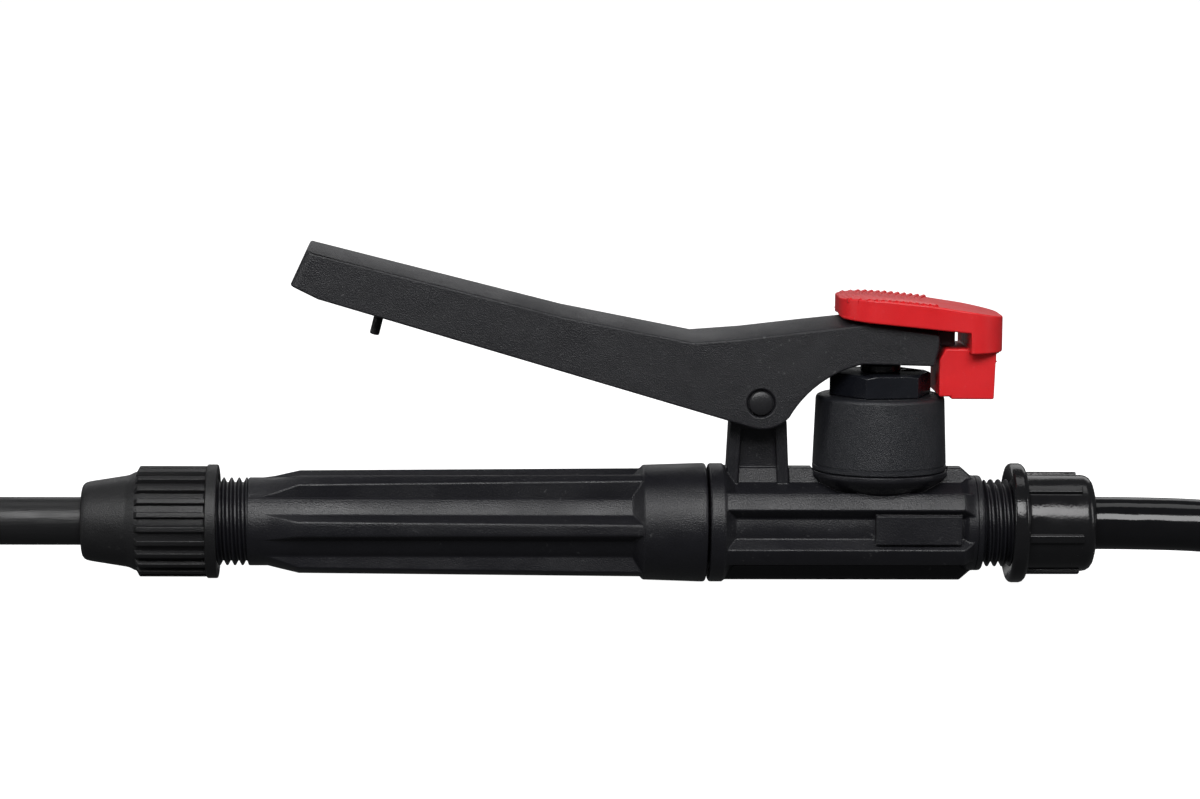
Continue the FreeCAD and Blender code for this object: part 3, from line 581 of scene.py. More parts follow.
@dataclass(frozen=True)
class Finish:
    """One material: a base colour and the skin that its moulding or drawing leaves."""

    name: str
    colour: tuple[float, float, float]
    roughness: float
    surface: Surface = Surface.MOULDED
    grain: float = 0.35            # pitch of the fine grain, in millimetres
    depth: float = 0.25            # strength of the fine grain
    cloud: float = 0.10            # how much the roughness wanders
    tint: float = 0.25             # how much the colour wanders
    scuffs: float = 0.3            # pale rubbed specks
    metallic: float = 0.0
    coat: float = 0.0
    specular: float = 0.5
    scatter: float = 0.0

    def made(self) -> bpy.types.Material:
        """Builds the material.

        Returns:
            The material, with every detail on Object coordinates.
        """
        material = bpy.data.materials.new(self.name)
        material.use_nodes = True
        desk = NodeDesk(material)
        skin = material.node_tree.nodes["Principled BSDF"]
        desk.fill(skin, {"Metallic": self.metallic, "Coat Weight": self.coat, "Coat Roughness": 0.12,
                         "Specular IOR Level": self.specular})
        if self.scatter > 0:
            desk.fill(skin, {"Subsurface Weight": self.scatter, "Subsurface Scale": 0.002})
        place = desk.add("ShaderNodeTexCoord", {}, "Object")
        along = (0.06, 1.0, 1.0) if self.surface is Surface.EXTRUDED else (1.0, 1.0, 1.0)
        drawn = desk.add("ShaderNodeMapping", {"Vector": place, "Scale": along}, "Vector")
        clouds = desk.noise(place, CLOUD_SCALE, 3.0)
        worn = self.wear(desk, place, clouds)
        low = max(self.roughness - self.cloud, 0.03)
        high = min(self.roughness + self.cloud, 1.0)
        gloss = desk.add("ShaderNodeMapRange", {"Value": clouds, "From Min": 0.3, "From Max": 0.7, "To Min": low,
                                                "To Max": high}, "Result")
        waves = desk.add("ShaderNodeBump", {"Height": desk.noise(drawn, WAVE_SCALE, 1.0), "Strength": 0.25,
                                            "Distance": WAVE_HEIGHT}, "Normal")
        relief = desk.add("ShaderNodeBump", {"Height": self.relief(desk, place, drawn), "Normal": waves,
                                             "Strength": self.depth, "Distance": GRAIN_HEIGHT}, "Normal")
        desk.fill(skin, {"Base Color": self.shade(desk, drawn, worn), "Normal": relief,
                         "Roughness": desk.calc("ADD", gloss, desk.calc("MULTIPLY", worn, WORN_ROUGHNESS))})
        return material

    def wear(self, desk: NodeDesk, place: object, clouds: object) -> object:
        """Marks the rubbed places: the highest peaks and hair scratches, only inside patches of cloud.

        Args:
            desk: the material's nodes.
            place: the Object coordinates.
            clouds: the noise that makes the patches.

        Returns:
            How worn each place is.
        """
        peaks = desk.window(desk.noise(place, SPECK_SCALE, 2.0), 0.66, 0.72)
        slanted = desk.add("ShaderNodeMapping", {"Vector": place, "Scale": (1.0, 1.0, 0.12),
                                                 "Rotation": (0.3, 1.25, 0.2)}, "Vector")
        hairs = desk.window(desk.noise(slanted, HAIR_SCALE, 2.0), 0.70, 0.74)
        either = desk.calc("MAXIMUM", peaks, desk.calc("MULTIPLY", hairs, HAIR_SHARE))
        worn = desk.calc("MULTIPLY", either, desk.window(clouds, 0.48, 0.66))
        return desk.calc("MULTIPLY", worn, self.scuffs)

    def shade(self, desk: NodeDesk, drawn: object, worn: object) -> object:
        """Lets the colour wander and pales it where it is worn.

        Args:
            desk: the material's nodes.
            drawn: the coordinates along the drawing of the material.
            worn: how worn each place is.

        Returns:
            The colour.
        """
        dark = (*[c * (1 - self.tint) for c in self.colour], 1)
        light = (*[min(c * (1 + self.tint), 1.0) for c in self.colour], 1)
        pale = (*[min(c * 1.3 + 0.11, 1.0) for c in self.colour], 1)
        mixed = desk.add("ShaderNodeMix", {"A": dark, "B": light, "Factor": desk.noise(drawn, BLOTCH_SCALE, 4.0)},
                         "Result", data_type="RGBA")
        return desk.add("ShaderNodeMix", {"A": mixed, "B": pale, "Factor": worn}, "Result", data_type="RGBA")

    def relief(self, desk: NodeDesk, place: object, drawn: object) -> object:
        """Gives the height of the fine skin for this kind of surface.

        Args:
            desk: the material's nodes.
            place: the Object coordinates.
            drawn: the coordinates along the drawing of the material.

        Returns:
            The height.
        """
        if self.surface is Surface.WOVEN:
            bands = 314.0 / self.grain
            warp, weft, third = [desk.add("ShaderNodeTexWave", {"Vector": place, "Scale": bands}, "Fac",
                                          bands_direction=axis.name) for axis in Axis]
            return desk.calc("MULTIPLY", warp, desk.calc("ADD", weft, third))
        source = place if self.surface is Surface.MOULDED else drawn
        return desk.noise(source, 1000.0 / self.grain, 2.0)


FINISHES = (
    Finish("lance_plastic", (0.012, 0.012, 0.013), 0.42, Surface.EXTRUDED, grain=0.5, depth=0.15, scuffs=0.15),
    Finish("nut_plastic", (0.011, 0.011, 0.012), 0.46, grain=0.30, depth=0.35, scuffs=0.25),
    Finish("inner_plastic", (0.55, 0.56, 0.54), 0.5, grain=0.4, depth=0.2, scuffs=0.0, tint=0.05),
    Finish("seal_rubber", (0.02, 0.02, 0.02), 0.7, grain=0.25, depth=0.4, scuffs=0.1),
    Finish("grip_plastic", (0.011, 0.011, 0.014), 0.38, grain=0.30, depth=0.30, scuffs=0.45),
    Finish("screen_mesh", (0.8, 0.8, 0.78), 0.6, Surface.WOVEN, grain=0.5, depth=0.9, scuffs=0.0, tint=0.05),
    Finish("body_plastic", (0.011, 0.011, 0.014), 0.36, grain=0.30, depth=0.30, scuffs=0.40),
    Finish("bonnet_plastic", (0.018, 0.019, 0.023), 0.36, grain=0.22, depth=0.40, scuffs=0.15),
    Finish("gland_plastic", (0.010, 0.011, 0.015), 0.25, grain=0.5, depth=0.10, scuffs=0.10),
    Finish("stem_plastic", (0.008, 0.008, 0.010), 0.22, grain=0.5, depth=0.08, scuffs=0.05),
    Finish("spring_steel", (0.58, 0.58, 0.56), 0.3, Surface.DRAWN, grain=0.2, depth=0.1, scuffs=0.0, tint=0.05,
           metallic=1.0),
    Finish("lever_plastic", (0.017, 0.017, 0.020), 0.42, grain=0.26, depth=0.40, scuffs=0.5, tint=0.3),
    Finish("pin_plastic", (0.018, 0.018, 0.020), 0.34, grain=0.3, depth=0.2, scuffs=0.3),
    Finish("lock_plastic", (0.92, 0.022, 0.028), 0.33, grain=0.35, depth=0.12, scuffs=0.12, tint=0.06,
           scatter=0.15),
    Finish("hose_nut_plastic", (0.010, 0.010, 0.011), 0.20, grain=0.6, depth=0.10, scuffs=0.15),
    Finish("hose_pvc", (0.006, 0.006, 0.007), 0.10, grain=1.2, depth=0.04, scuffs=0.08, cloud=0.05),
    Finish("tie_strap", (0.04, 0.04, 0.045), 0.8, Surface.WOVEN, grain=0.7, depth=0.8, scuffs=0.1),
)


class Paint:
    """Holds the made materials and puts them on pieces."""

    def __init__(self) -> None:
        """Makes every finish once."""
        self.made = {finish.name: finish.made() for finish in FINISHES}

    def put(self, piece: bpy.types.Object, slot: str) -> None:
        """Gives a piece one finish."""
        piece.data.materials.clear()
        piece.data.materials.append(self.made[slot])

    def cover_frame(self, frame: dict) -> None:
        """Gives every node of the frame its finish.

        Args:
            frame: the loaded frame.
        """
        for part in frame["record"]["subparts"]:
            node = frame["nodes"][part["node"]]
            for holder in node.material_slots:
                holder.material = self.made[part["material_slot"]]


@dataclass
class Assembly:
    """What every sub-assembly shares."""

    bench: Bench
    paint: Paint
    frame: dict

    def hand_over(self, piece: bpy.types.Object, body: str, slot: str, *nodes: str,
                  sharp: float | None = None) -> bpy.types.Object:
        """Dresses a finished piece and ties it to its body.

        Args:
            piece: the piece.
            body: the body that it rides on.
            slot: its finish.
            nodes: the frame's nodes that it stands for.
            sharp: from what turn on, in degrees, a mesh's edge stays sharp; a curve has none.

        Returns:
            The piece.
        """
        if sharp is not None:
            self.bench.soften(piece, sharp)
        self.paint.put(piece, slot)
        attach(piece, body)
        if nodes:
            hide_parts(*nodes)
        LOG.info("%s: %d faces, rides on %s", piece.name, len(getattr(piece.data, "polygons", ())), body)
        return piece


# ------------------------------------------------------------------ supply hose
@dataclass
class SupplyHose(Assembly):
    """The hose from the valve: one smooth curve, folded into a tied hank beside the barrel."""

    diameter: float = 12.6
    start_x: float = 47.1
    run: float = 190.0
    left_x: float = 134.0
    bend: float = 38.0
    middle_y: float = 29.0
    low_z: float = -7.4
    coupling_y: float = 93.0
    length: float = 1.16
    hose: bpy.types.Object | None = None

    def turns(self) -> list[Point]:
        """Gives the hank's points, turn by turn.

        Returns:
            Points in millimetres from the first near run to the last far one.
        """
        eighth = math.radians(22.5)
        reach = self.bend / math.cos(eighth)
        step = 2 * reach * math.sin(eighth)
        corner = reach * math.cos(3 * eighth)
        right_x = self.left_x + self.run
        near = self.middle_y - self.bend
        far = self.middle_y + self.bend
        points: list[Point] = []
        for level in range(2):
            z = self.low_z + level * self.diameter
            if level:
                points.append((self.left_x - corner + step, near, z))
            points.append((right_x + corner - step, near, z))
            for angle in (-3 * eighth, -eighth, eighth, 3 * eighth):
                points.append((right_x + reach * math.cos(angle), self.middle_y + reach * math.sin(angle), z))
            if level:
                break
            points.append((right_x + corner - step, far, z))
            points.append((self.left_x - corner + step, far, z))
            for angle, climb in ((3 * eighth, 0.06), (eighth, 0.38), (-eighth, 0.80), (-3 * eighth, 1.08)):
                points.append((self.left_x - reach * math.cos(angle), self.middle_y + reach * math.sin(angle),
                               z + climb * self.diameter))
        return points

    def build(self) -> bpy.types.Object:
        """Draws the hose along its route.

        Returns:
            The hose curve.
        """
        route: list[Point] = [(self.start_x, 0, 0), (66.0, 0, 0), (84.0, -0.6, -0.8), (104.0, -3.2, -3.6),
                              (120.0, -6.6, -6.2), (138.0, -9.0, self.low_z)]
        route += self.turns()
        route += [(321.0, 67.0, 5.2), (293.1, 67.0, 5.2), (263.8, 73.3, 3.8), (233.5, 86.8, 1.2),
                  (204.2, self.coupling_y, 0), (self.start_x + 127.0, self.coupling_y, 0)]
        curve = bpy.data.curves.new("supply_hose", "CURVE")
        curve.dimensions = "3D"
        spline = curve.splines.new("NURBS")
        spline.points.add(len(route) - 1)
        for point, place in zip(spline.points, route):
            point.co = (*self.bench.at(*place), 1.0)
        spline.order_u = 3
        spline.use_endpoint_u = True
        spline.resolution_u = 16
        curve.bevel_depth = self.diameter * MM / 2
        curve.bevel_resolution = 12
        curve.use_fill_caps = True
        self.hose = bpy.data.objects.new("supply_hose", curve)
        bpy.context.scene.collection.objects.link(self.hose)
        return self.hand_over(self.hose, "handle", "hose_pvc", "hose_lead", "hose_hank", "hose_end")

    def declare(self, with_pieces: Iterable[object]) -> None:
        """Works out the point where the hose starts, and keeps nothing.

        Args:
            with_pieces: not used.
        """
        tuple(self.bench.at(self.start_x, 0, 0))


# ------------------------------------------------------------------ lance
@dataclass
class Lance(Assembly):
    """The nut that clamps the lance, and the adjustable nozzle at its far end."""

    mouth: float = -157.6
    end: float = -189.8
    flange: float = 13.55
    root: float = 12.05
    rib_top: float = 13.2
    ribs: int = 24
    rib_half: float = 0.95
    rib_share: float = 0.66        # width of a rib's top as a share of its foot
    rib_lean: float = 1.1          # how far a rib's top lies right of its foot
    rib_edge: float = 0.22
    bore: float = 10.62
    lance_bore: float = 6.0
    skirt: float = 18.4            # length of the ribbed part
    room_end: float = -170.0       # left end of the room for the grip's thread
    collar_end: float = -176.9     # left end of the room for the lance's collar
    collar_r: float = 8.9
    cone_end: float = -181.0

    def build_nut(self) -> bpy.types.Object:
        """Turns the nut's body and sets its ribs round it.

        Returns:
            The nut.
        """
        left = self.mouth - self.skirt
        m, e, f = self.mouth, self.end, self.flange
        body = self.bench.spun("lance_nut_body", [
            (e, self.lance_bore), (e, 8.0), (e + 0.12, 8.45), (e + 0.5, 8.95), (e + 1.1, 9.3), (e + 2.2, 9.55),
            (e + 10.4, 10.85), (e + 11.2, 11.05), (left - 1.5, 11.6), (left - 0.5, 11.95),
            (left + 0.3, self.root), (m - 3.0, self.root), (m - 2.75, 12.5), (m - 2.7, f - 0.35), (m - 2.4, f),
            (m - 0.35, f), (m - 0.08, f - 0.12), (m, f - 0.4), (m, self.bore + 0.9), (m - 0.9, self.bore),
            (self.room_end, self.bore), (self.room_end, self.collar_r), (self.collar_end, self.collar_r),
            (self.collar_end - 0.1, 7.6), (self.cone_end, self.lance_bore), (e, self.lance_bore)], steps=144)
        rib = self.bench.brick("rib", (left - 1.2, -self.rib_half, self.root - 0.8),
                               (m - 2.6, self.rib_half, self.rib_top))
        self.bench.narrow_top(rib, self.rib_share, self.rib_lean)
        self.bench.round_edges(rib, self.rib_edge)
        nut = self.bench.join("lance_nut_piece", [body, *self.bench.ring_of(rib, self.ribs)])
        return self.hand_over(nut, "lance_nut", "nut_plastic", "lance_nut", sharp=40)

    def build_nozzle(self) -> None:
        """Rounds the edges of the nozzle's sleeve and its ribbed cap."""
        for node, body in (("nozzle_body", "handle"), ("nozzle_cap", "nozzle_cap")):
            piece = self.bench.copied(self.frame, node, node + "_piece")
            self.bench.round_edges(piece, 0.18, 32, 2)
            self.hand_over(piece, body, "nut_plastic", node, sharp=32)


# ------------------------------------------------------------------ barrel
@dataclass
class Barrel(Assembly):
    """The fluted grip and the valve body, with their screwed threads."""

    crest: float = 10.4775
    pitch: float = 1.814
    grip_thread: tuple[float, float] = (-169.9, -148.0)
    body_thread: tuple[float, float] = (24.4, 43.0)
    grip_cut: float = -150.4
    body_cut: float = 23.0
    grip_bore: float = 5.85
    body_bore: float = 4.05
    neck_bore: float = 4.02
    neck_r: float = 11.4
    edge: float = 0.32

    def build_grip(self) -> bpy.types.Object:
        """Rounds the grip's edges and gives it a real screw thread.

        Returns:
            The grip.
        """
        barrel = self.bench.copied(self.frame, "grip_barrel", "grip_part")
        self.bench.cut_off(barrel, self.grip_cut, keep_left=False)
        self.bench.round_edges(barrel, self.edge, 28)
        thread = self.bench.thread("grip_thread", *self.grip_thread, self.crest, self.pitch, self.grip_bore)
        grip = self.bench.join("grip_piece", [barrel, thread])
        return self.hand_over(grip, "handle", "grip_plastic", "grip_barrel", sharp=32)

    def build_body(self) -> bpy.types.Object:
        """Rounds the valve body's edges and gives it a real screw thread.

        Returns:
            The valve body.
        """
        barrel = self.bench.copied(self.frame, "valve_body", "valve_part")
        self.bench.cut_off(barrel, self.body_cut, keep_left=True)
        self.bench.round_edges(barrel, self.edge, 28)
        thread = self.bench.thread("body_thread", *self.body_thread, self.crest, self.pitch, self.body_bore)
        cut, r = self.body_cut, self.neck_r
        neck = self.bench.spun("neck", [
            (cut, self.neck_bore), (cut, r), (cut + 0.8, r), (cut + 1.2, r - 0.1), (cut + 1.45, r - 0.35),
            (cut + 1.55, r - 0.7), (cut + 1.6, 9.6), (cut + 2.3, 9.3), (cut + 2.3, self.neck_bore),
            (cut, self.neck_bore)])
        body = self.bench.join("valve_body_piece", [barrel, neck, thread])
        return self.hand_over(body, "handle", "body_plastic", "valve_body", sharp=32)


# ------------------------------------------------------------------ valve head
@dataclass
class ValveHead(Assembly):
    """Bonnet, gland nut and stem over the valve chamber."""

    bonnet_low: float = 13.15
    bonnet_high: float = 31.0
    low_r: float = 16.0
    high_r: float = 15.36
    skirt_bore: float = 12.25
    room_low: float = 22.2
    room_r: float = 10.4
    room_gap: float = 2.6          # thickness of the bonnet over its room
    gland_bore: float = 8.45
    hexagon_edge: float = 0.4
    stem_low: float = 7.35
    washer_top: float = 8.55
    flange_top: float = 10.55
    collar_low: float = 36.6
    collar_top: float = 38.5
    head_low: float = 43.0
    head_top: float = 45.1
    pip_r: float = 1.4
    flange_r: float = 5.2
    stem_r: float = 3.0
    collar_r: float = 4.8
    neck_r: float = 2.5
    head_r: float = 4.6
    spring_top: float = 26.6
    spring_keep: float = 0.514     # share of the spring's length left at full lift

    def build(self) -> None:
        """Builds the four pieces from the outside in."""
        self.build_bonnet()
        self.build_gland()
        self.build_stem()
        self.build_spring()

    def build_bonnet(self) -> None:
        """Turns the bonnet, with a groove over its foot and another in its top."""
        low, high = self.bonnet_low, self.bonnet_high
        bonnet = self.bench.spun("bonnet_piece", [
            (low, self.skirt_bore), (low, self.low_r - 0.25), (low + 0.25, self.low_r), (low + 1.1, self.low_r),
            (low + 1.2, self.low_r - 0.22), (low + 1.45, self.low_r - 0.22), (low + 1.55, self.low_r - 0.04),
            (high - 1.0, self.high_r + 0.02), (high - 0.55, self.high_r - 0.08), (high - 0.2, self.high_r - 0.35),
            (high, self.high_r - 0.8), (high, 12.6), (high - 0.15, 12.5), (high - 0.15, 12.2), (high, 12.1),
            (high, self.gland_bore), (high - self.room_gap, self.gland_bore), (high - self.room_gap, self.room_r),
            (self.room_low, self.room_r), (self.room_low, self.skirt_bore), (low, self.skirt_bore)],
            steps=144, axis=Axis.Z)
        self.hand_over(bonnet, "handle", "bonnet_plastic", "bonnet", sharp=35)

    def build_gland(self) -> None:
        """Rounds the edges of the gland nut."""
        gland = self.bench.copied(self.frame, "gland_nut", "gland_piece")
        self.bench.round_edges(gland, self.hexagon_edge, 25)
        self.hand_over(gland, "handle", "gland_plastic", "gland_nut", sharp=32)

    def build_stem(self) -> None:
        """Turns the stem, with its flange, dust collar and lifting head."""
        foot, collar, head = self.washer_top, self.collar_top, self.head_top
        stem = self.bench.spun("stem_piece", [
            (self.stem_low, 0), (self.stem_low, self.pip_r), (foot, self.pip_r), (foot, self.flange_r - 0.2),
            (foot + 0.2, self.flange_r), (self.flange_top - 0.2, self.flange_r),
            (self.flange_top, self.flange_r - 0.2), (self.flange_top, self.stem_r),
            (self.collar_low, self.stem_r), (self.collar_low, self.collar_r - 0.2),
            (self.collar_low + 0.2, self.collar_r), (collar - 0.35, self.collar_r),
            (collar, self.collar_r - 0.35), (collar, self.neck_r + 0.25), (collar + 0.3, self.neck_r),
            (self.head_low, self.neck_r), (self.head_low, self.head_r - 0.3),
            (self.head_low + 0.25, self.head_r), (head - 0.5, self.head_r), (head - 0.1, self.head_r - 0.35),
            (head, self.head_r - 1.0), (head, 0)], steps=64, axis=Axis.Z)
        self.hand_over(stem, "stem", "stem_plastic", "valve_stem", sharp=35)

    def build_spring(self) -> None:
        """Copies the return spring and gives the copy its own mesh."""
        spring = self.bench.copied(self.frame, "return_spring", "return_spring_piece")
        self.hand_over(spring, "handle", "spring_steel", "return_spring", sharp=50)
        tuple(self.bench.at(0, 0, self.spring_top))
        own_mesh(spring)


# ------------------------------------------------------------------ lever
@dataclass
class SqueezeLever(Assembly):
    """The crowned squeeze lever and the pin that it turns on."""

    pivot: tuple[float, float] = (-29.3, 30.0)
    cheek: float = 10.82
    edge: float = 0.45
    mark: Point = (4.2, -10.0, 43.0)
    tail_foot: tuple[float, float] = (-140.1, 57.4)
    tail_lean: float = 0.4652      # how far the tail's end face leans right per millimetre of height
    tail_r: float = 1.8

    def round_tail(self, lever: bpy.types.Object) -> None:
        """Rounds the tail's end face where it meets the two cheeks.

        Args:
            lever: the copied lever.
        """
        x, z = self.tail_foot

        def on_end(point: Vector) -> bool:
            """Says whether a point lies on the outline of the tail's end face."""
            return abs(point.x - x - (point.z - z) * self.tail_lean) < 0.03 and point.z > z - 0.1

        self.bench.edit(lever, "EDGE")
        picked = self.bench.pick_edges(lever, lambda a, b: on_end(a) and on_end(b) and abs(a.z - b.z) > 5.0)
        bpy.ops.mesh.bevel(offset=self.tail_r * MM, segments=4, affect="EDGES", clamp_overlap=False)
        self.bench.close()
        LOG.info("tail: %d edges rounded", picked)

    def build_lever(self) -> None:
        """Rounds the lever's edges and adds its moulded mark."""
        lever = self.bench.copied(self.frame, "lever", "lever_part")
        self.round_tail(lever)
        self.bench.round_edges(lever, self.edge, 24)
        x, y, z = self.mark
        ring = self.bench.spun("lever_mark", [
            (0.25, 0.75), (-0.12, 0.8), (-0.12, 1.15), (0.25, 1.2), (0.25, 0.75)], 32, Axis.Y, (x, y, z))
        dot = self.bench.spun("lever_dot", [
            (0.25, 0), (0.25, 0.35), (-0.10, 0.28), (-0.10, 0)], 16, Axis.Y, (x, y, z))
        lever = self.bench.join("lever_piece", [lever, ring, dot])
        self.hand_over(lever, "lever", "lever_plastic", "lever", sharp=32)

    def build_pin(self) -> None:
        """Turns the headed pin that the lever swings on."""
        x, z = self.pivot
        near = -self.cheek
        half = [(0, 2.0), (near + 0.9, 2.0), (near + 0.9, 2.65), (near + 0.7, 2.88), (near + 0.2, 2.88),
                (near - 0.1, 2.7), (near - 0.32, 2.2), (near - 0.45, 1.3), (near - 0.5, 0)]
        outline = half[::-1] + [(-along, r) for along, r in half[1:]]
        pin = self.bench.spun("pivot_pin_piece", outline, 64, Axis.Y, (x, 0, z))
        self.hand_over(pin, "lever", "pin_plastic", "pivot_pin", sharp=35)


# ------------------------------------------------------------------ hold-open slider
@dataclass
class HoldOpenSlider(Assembly):
    """The red slider, with arched finger ribs over the front of its top."""

    left: float = -10.7
    half_width: float = 13.0
    end_r: float = 9.0
    roof: tuple[tuple[float, float], ...] = ((-11.7, 54.8), (-6.0, 54.8), (0.0, 54.5), (10.0, 53.5), (20.0, 52.0))
    rib_pitch: float = 1.58
    rib_count: int = 13
    arch: float = 34.0
    rib_r: float = 0.60
    rib_sink: float = 0.36         # how far a rib's middle lies under the top
    rib_foot: float = 0.9          # how far a rib reaches into the slider
    rib_inset: float = 0.3         # how far a rib ends from the slider's side
    first_rib: float = 0.9         # from the left end to the first rib
    edge: float = 0.42

    def roof_at(self, x: float) -> float:
        """Gives the height of the top.

        Args:
            x: a place on X.

        Returns:
            Its height there.
        """
        for (x0, z0), (x1, z1) in zip(self.roof, self.roof[1:]):
            if x <= x1:
                return z0 + (z1 - z0) * (x - x0) / (x1 - x0)
        return self.roof[-1][1]

    def trim_rim(self, slider: bpy.types.Object) -> None:
        """Pulls back what the rounding pushed out past the cap's left end, under its thin rim.

        Args:
            slider: the rounded slider.
        """
        self.bench.edit(slider)
        self.bench.close()
        edge_x = self.bench.at(self.left, 0, 0).x
        for vertex in slider.data.vertices:
            vertex.select = vertex.co.x < edge_x - 0.08 * MM
        bpy.ops.object.mode_set(mode="EDIT")
        bpy.ops.transform.resize(value=(0, 1, 1), center_override=(edge_x, 0, 0))
        self.bench.close()

    def half_at(self, x: float) -> float:
        """Gives half the slider's width.

        Args:
            x: a place on X.

        Returns:
            Half its width there.
        """
        past = self.left + self.end_r - x
        if past <= 0:
            return self.half_width
        return self.half_width - self.end_r + math.sqrt(max(self.end_r ** 2 - past ** 2, 0.0))

    def rib(self, x: float) -> bpy.types.Object:
        """Models one arched rib by spinning a half-round section about an upright axis.

        Args:
            x: the middle of its front on X.

        Returns:
            The rib.
        """
        radius = self.arch
        half_turn = 0.0
        step = 0.004
        while (radius * math.sin(half_turn + step)
               < self.half_at(x + radius * (1 - math.cos(half_turn))) - self.rib_inset):
            half_turn += step
        z = self.roof_at(x)
        r = self.rib_r
        turns = [math.radians(degrees) for degrees in (0, 45, 90, 135, 180)]
        section = [(x + r * math.cos(turn), 0.0, z - self.rib_sink + r * math.sin(turn)) for turn in turns]
        section += [(x - r, 0.0, z - self.rib_foot), (x + r, 0.0, z - self.rib_foot)]
        bar = self.bench.line("rib", section)
        self.bench.everything()
        bpy.ops.mesh.edge_face_add()
        axis_point = self.bench.at(x + radius, 0, z)
        bpy.ops.transform.rotate(value=half_turn, orient_axis="Z", orient_type="GLOBAL",
                                 center_override=axis_point)
        bpy.ops.mesh.spin(steps=20, angle=2 * half_turn, center=axis_point, axis=(0, 0, -1))
        self.bench.everything()
        bpy.ops.mesh.remove_doubles(threshold=WELD)
        bpy.ops.mesh.select_all(action="DESELECT")
        bpy.ops.mesh.select_non_manifold(extend=False)
        bpy.ops.mesh.fill_holes(sides=0)
        self.bench.tidy(bar)
        return bar

    def build(self) -> bpy.types.Object:
        """Rounds the slider's edges and lays the ribs on it.

        Returns:
            The slider.
        """
        slider = self.bench.copied(self.frame, "lock_slider", "slider_part")
        self.bench.round_edges(slider, self.edge)
        self.trim_rim(slider)
        first = self.left + self.first_rib
        ribs = [self.rib(first + number * self.rib_pitch) for number in range(self.rib_count)]
        slider = self.bench.join("hold_open_slider", [slider, *ribs])
        return self.hand_over(slider, "lock", "lock_plastic", "lock_slider", sharp=38)


# ------------------------------------------------------------------ hose unions
@dataclass
class HoseUnion(Assembly):
    """The glossy winged nuts that clamp the hose at the valve and at the tank."""

    mouth: float = 31.0
    end: float = 51.4
    flange: float = 14.3
    body: float = 11.55
    rib_r: float = 12.4
    rib_half: float = 1.15
    rib_share: float = 0.82        # width of a rib's top as a share of its foot
    rib_edge: float = 0.3
    ribs: int = 6
    first_angle: float = 40.0
    bore: float = 10.62
    hose_room: float = 6.6
    tail_start: float = 47.1       # right end of the room for the tail's collar
    tail_r: float = 9.3
    room_end: float = 43.5         # right end of the room for the thread
    shift: tuple[float, float] = (127.0, 93.0)

    def build(self) -> list[bpy.types.Object]:
        """Turns the nut, sets its ribs round it and copies it for the tank.

        Returns:
            The valve's nut and the tank's nut.
        """
        m, e, f, b = self.mouth, self.end, self.flange, self.body
        shell = self.bench.spun("union_body", [
            (m + 2.6, self.bore), (m + 0.55, 12.6), (m + 0.05, 13.0), (m, 13.3), (m + 0.15, f - 0.5),
            (m + 0.5, f - 0.15), (m + 1.0, f), (m + 2.7, f), (m + 3.3, f - 0.2), (m + 3.8, f - 0.7),
            (m + 4.0, f - 1.2), (m + 4.0, b + 0.4), (m + 4.25, b + 0.08), (m + 4.8, b), (e - 2.6, b),
            (e - 1.7, b - 0.18), (e - 0.9, b - 0.65), (e - 0.35, b - 1.4), (e - 0.05, b - 2.4), (e, b - 3.2),
            (e, self.hose_room), (self.tail_start, self.hose_room), (self.tail_start, self.tail_r),
            (self.room_end, self.tail_r), (self.room_end, self.bore), (m + 2.6, self.bore)], steps=128)
        rib = self.bench.brick("rib", (m + 3.6, -self.rib_half, b - 0.7), (e - 3.4, self.rib_half, self.rib_r))
        self.bench.narrow_top(rib, self.rib_share)
        self.bench.round_edges(rib, self.rib_edge)
        nut = self.bench.join("hose_nut_piece", [shell, *self.bench.ring_of(rib, self.ribs)])
        self.bench.turn(nut, self.first_angle)
        self.bench.soften(nut, 40)
        self.bench.only(nut)
        bpy.ops.object.duplicate(linked=False)
        twin = bpy.context.active_object
        twin.name = "tank_nut_piece"
        self.bench.edit(twin)
        self.bench.everything()
        bpy.ops.transform.translate(value=(self.shift[0] * MM, self.shift[1] * MM, 0))
        self.bench.close()
        self.hand_over(nut, "hose_nut", "hose_nut_plastic", "hose_nut")
        self.hand_over(twin, "tank_nut", "hose_nut_plastic", "tank_nut")
        return [nut, twin]


@dataclass
class HankStraps(Assembly):
    """Two hook and loop straps that hold the hank."""

    width: float = 9.0
    thickness: float = 0.65
    hose_r: float = 6.3
    play: float = 0.02
    low_z: float = -7.4
    places: tuple[tuple[float, float], ...] = ((200.5, -9.0), (308.8, 67.0))

    def strap(self, x: float, y: float) -> bpy.types.Object:
        """Models one strap round two stacked turns.

        Args:
            x: its left edge on X.
            y: the middle of the turns on Y.

        Returns:
            The strap.
        """
        reach = self.hose_r + self.play
        points = []
        for centre_z, first in ((self.low_z, 180), (self.low_z + 2 * self.hose_r, 0)):
            for step in range(13):
                turn = math.radians(first + 15 * step)
                points.append((x, y + reach * math.cos(turn), centre_z + reach * math.sin(turn)))
        band = self.bench.line("strap", points)
        self.bench.everything()
        bpy.ops.mesh.edge_face_add()
        bpy.ops.mesh.delete(type="ONLY_FACE")
        self.bench.everything()
        bpy.ops.mesh.extrude_region_move(TRANSFORM_OT_translate={"value": (self.width * MM, 0, 0)})
        self.bench.tidy(band)
        self.bench.modify(band, "SOLIDIFY", thickness=self.thickness * MM, offset=1.0, use_even_offset=True)
        self.bench.tidy(band)
        self.bench.round_edges(band, 0.15, 50, 2)
        return band

    def build(self) -> bpy.types.Object:
        """Models both straps as one piece.

        Returns:
            The straps.
        """
        piece = self.bench.join("hank_straps", [self.strap(x, y) for x, y in self.places])
        return self.hand_over(piece, "handle", "tie_strap", "hank_ties", sharp=40)


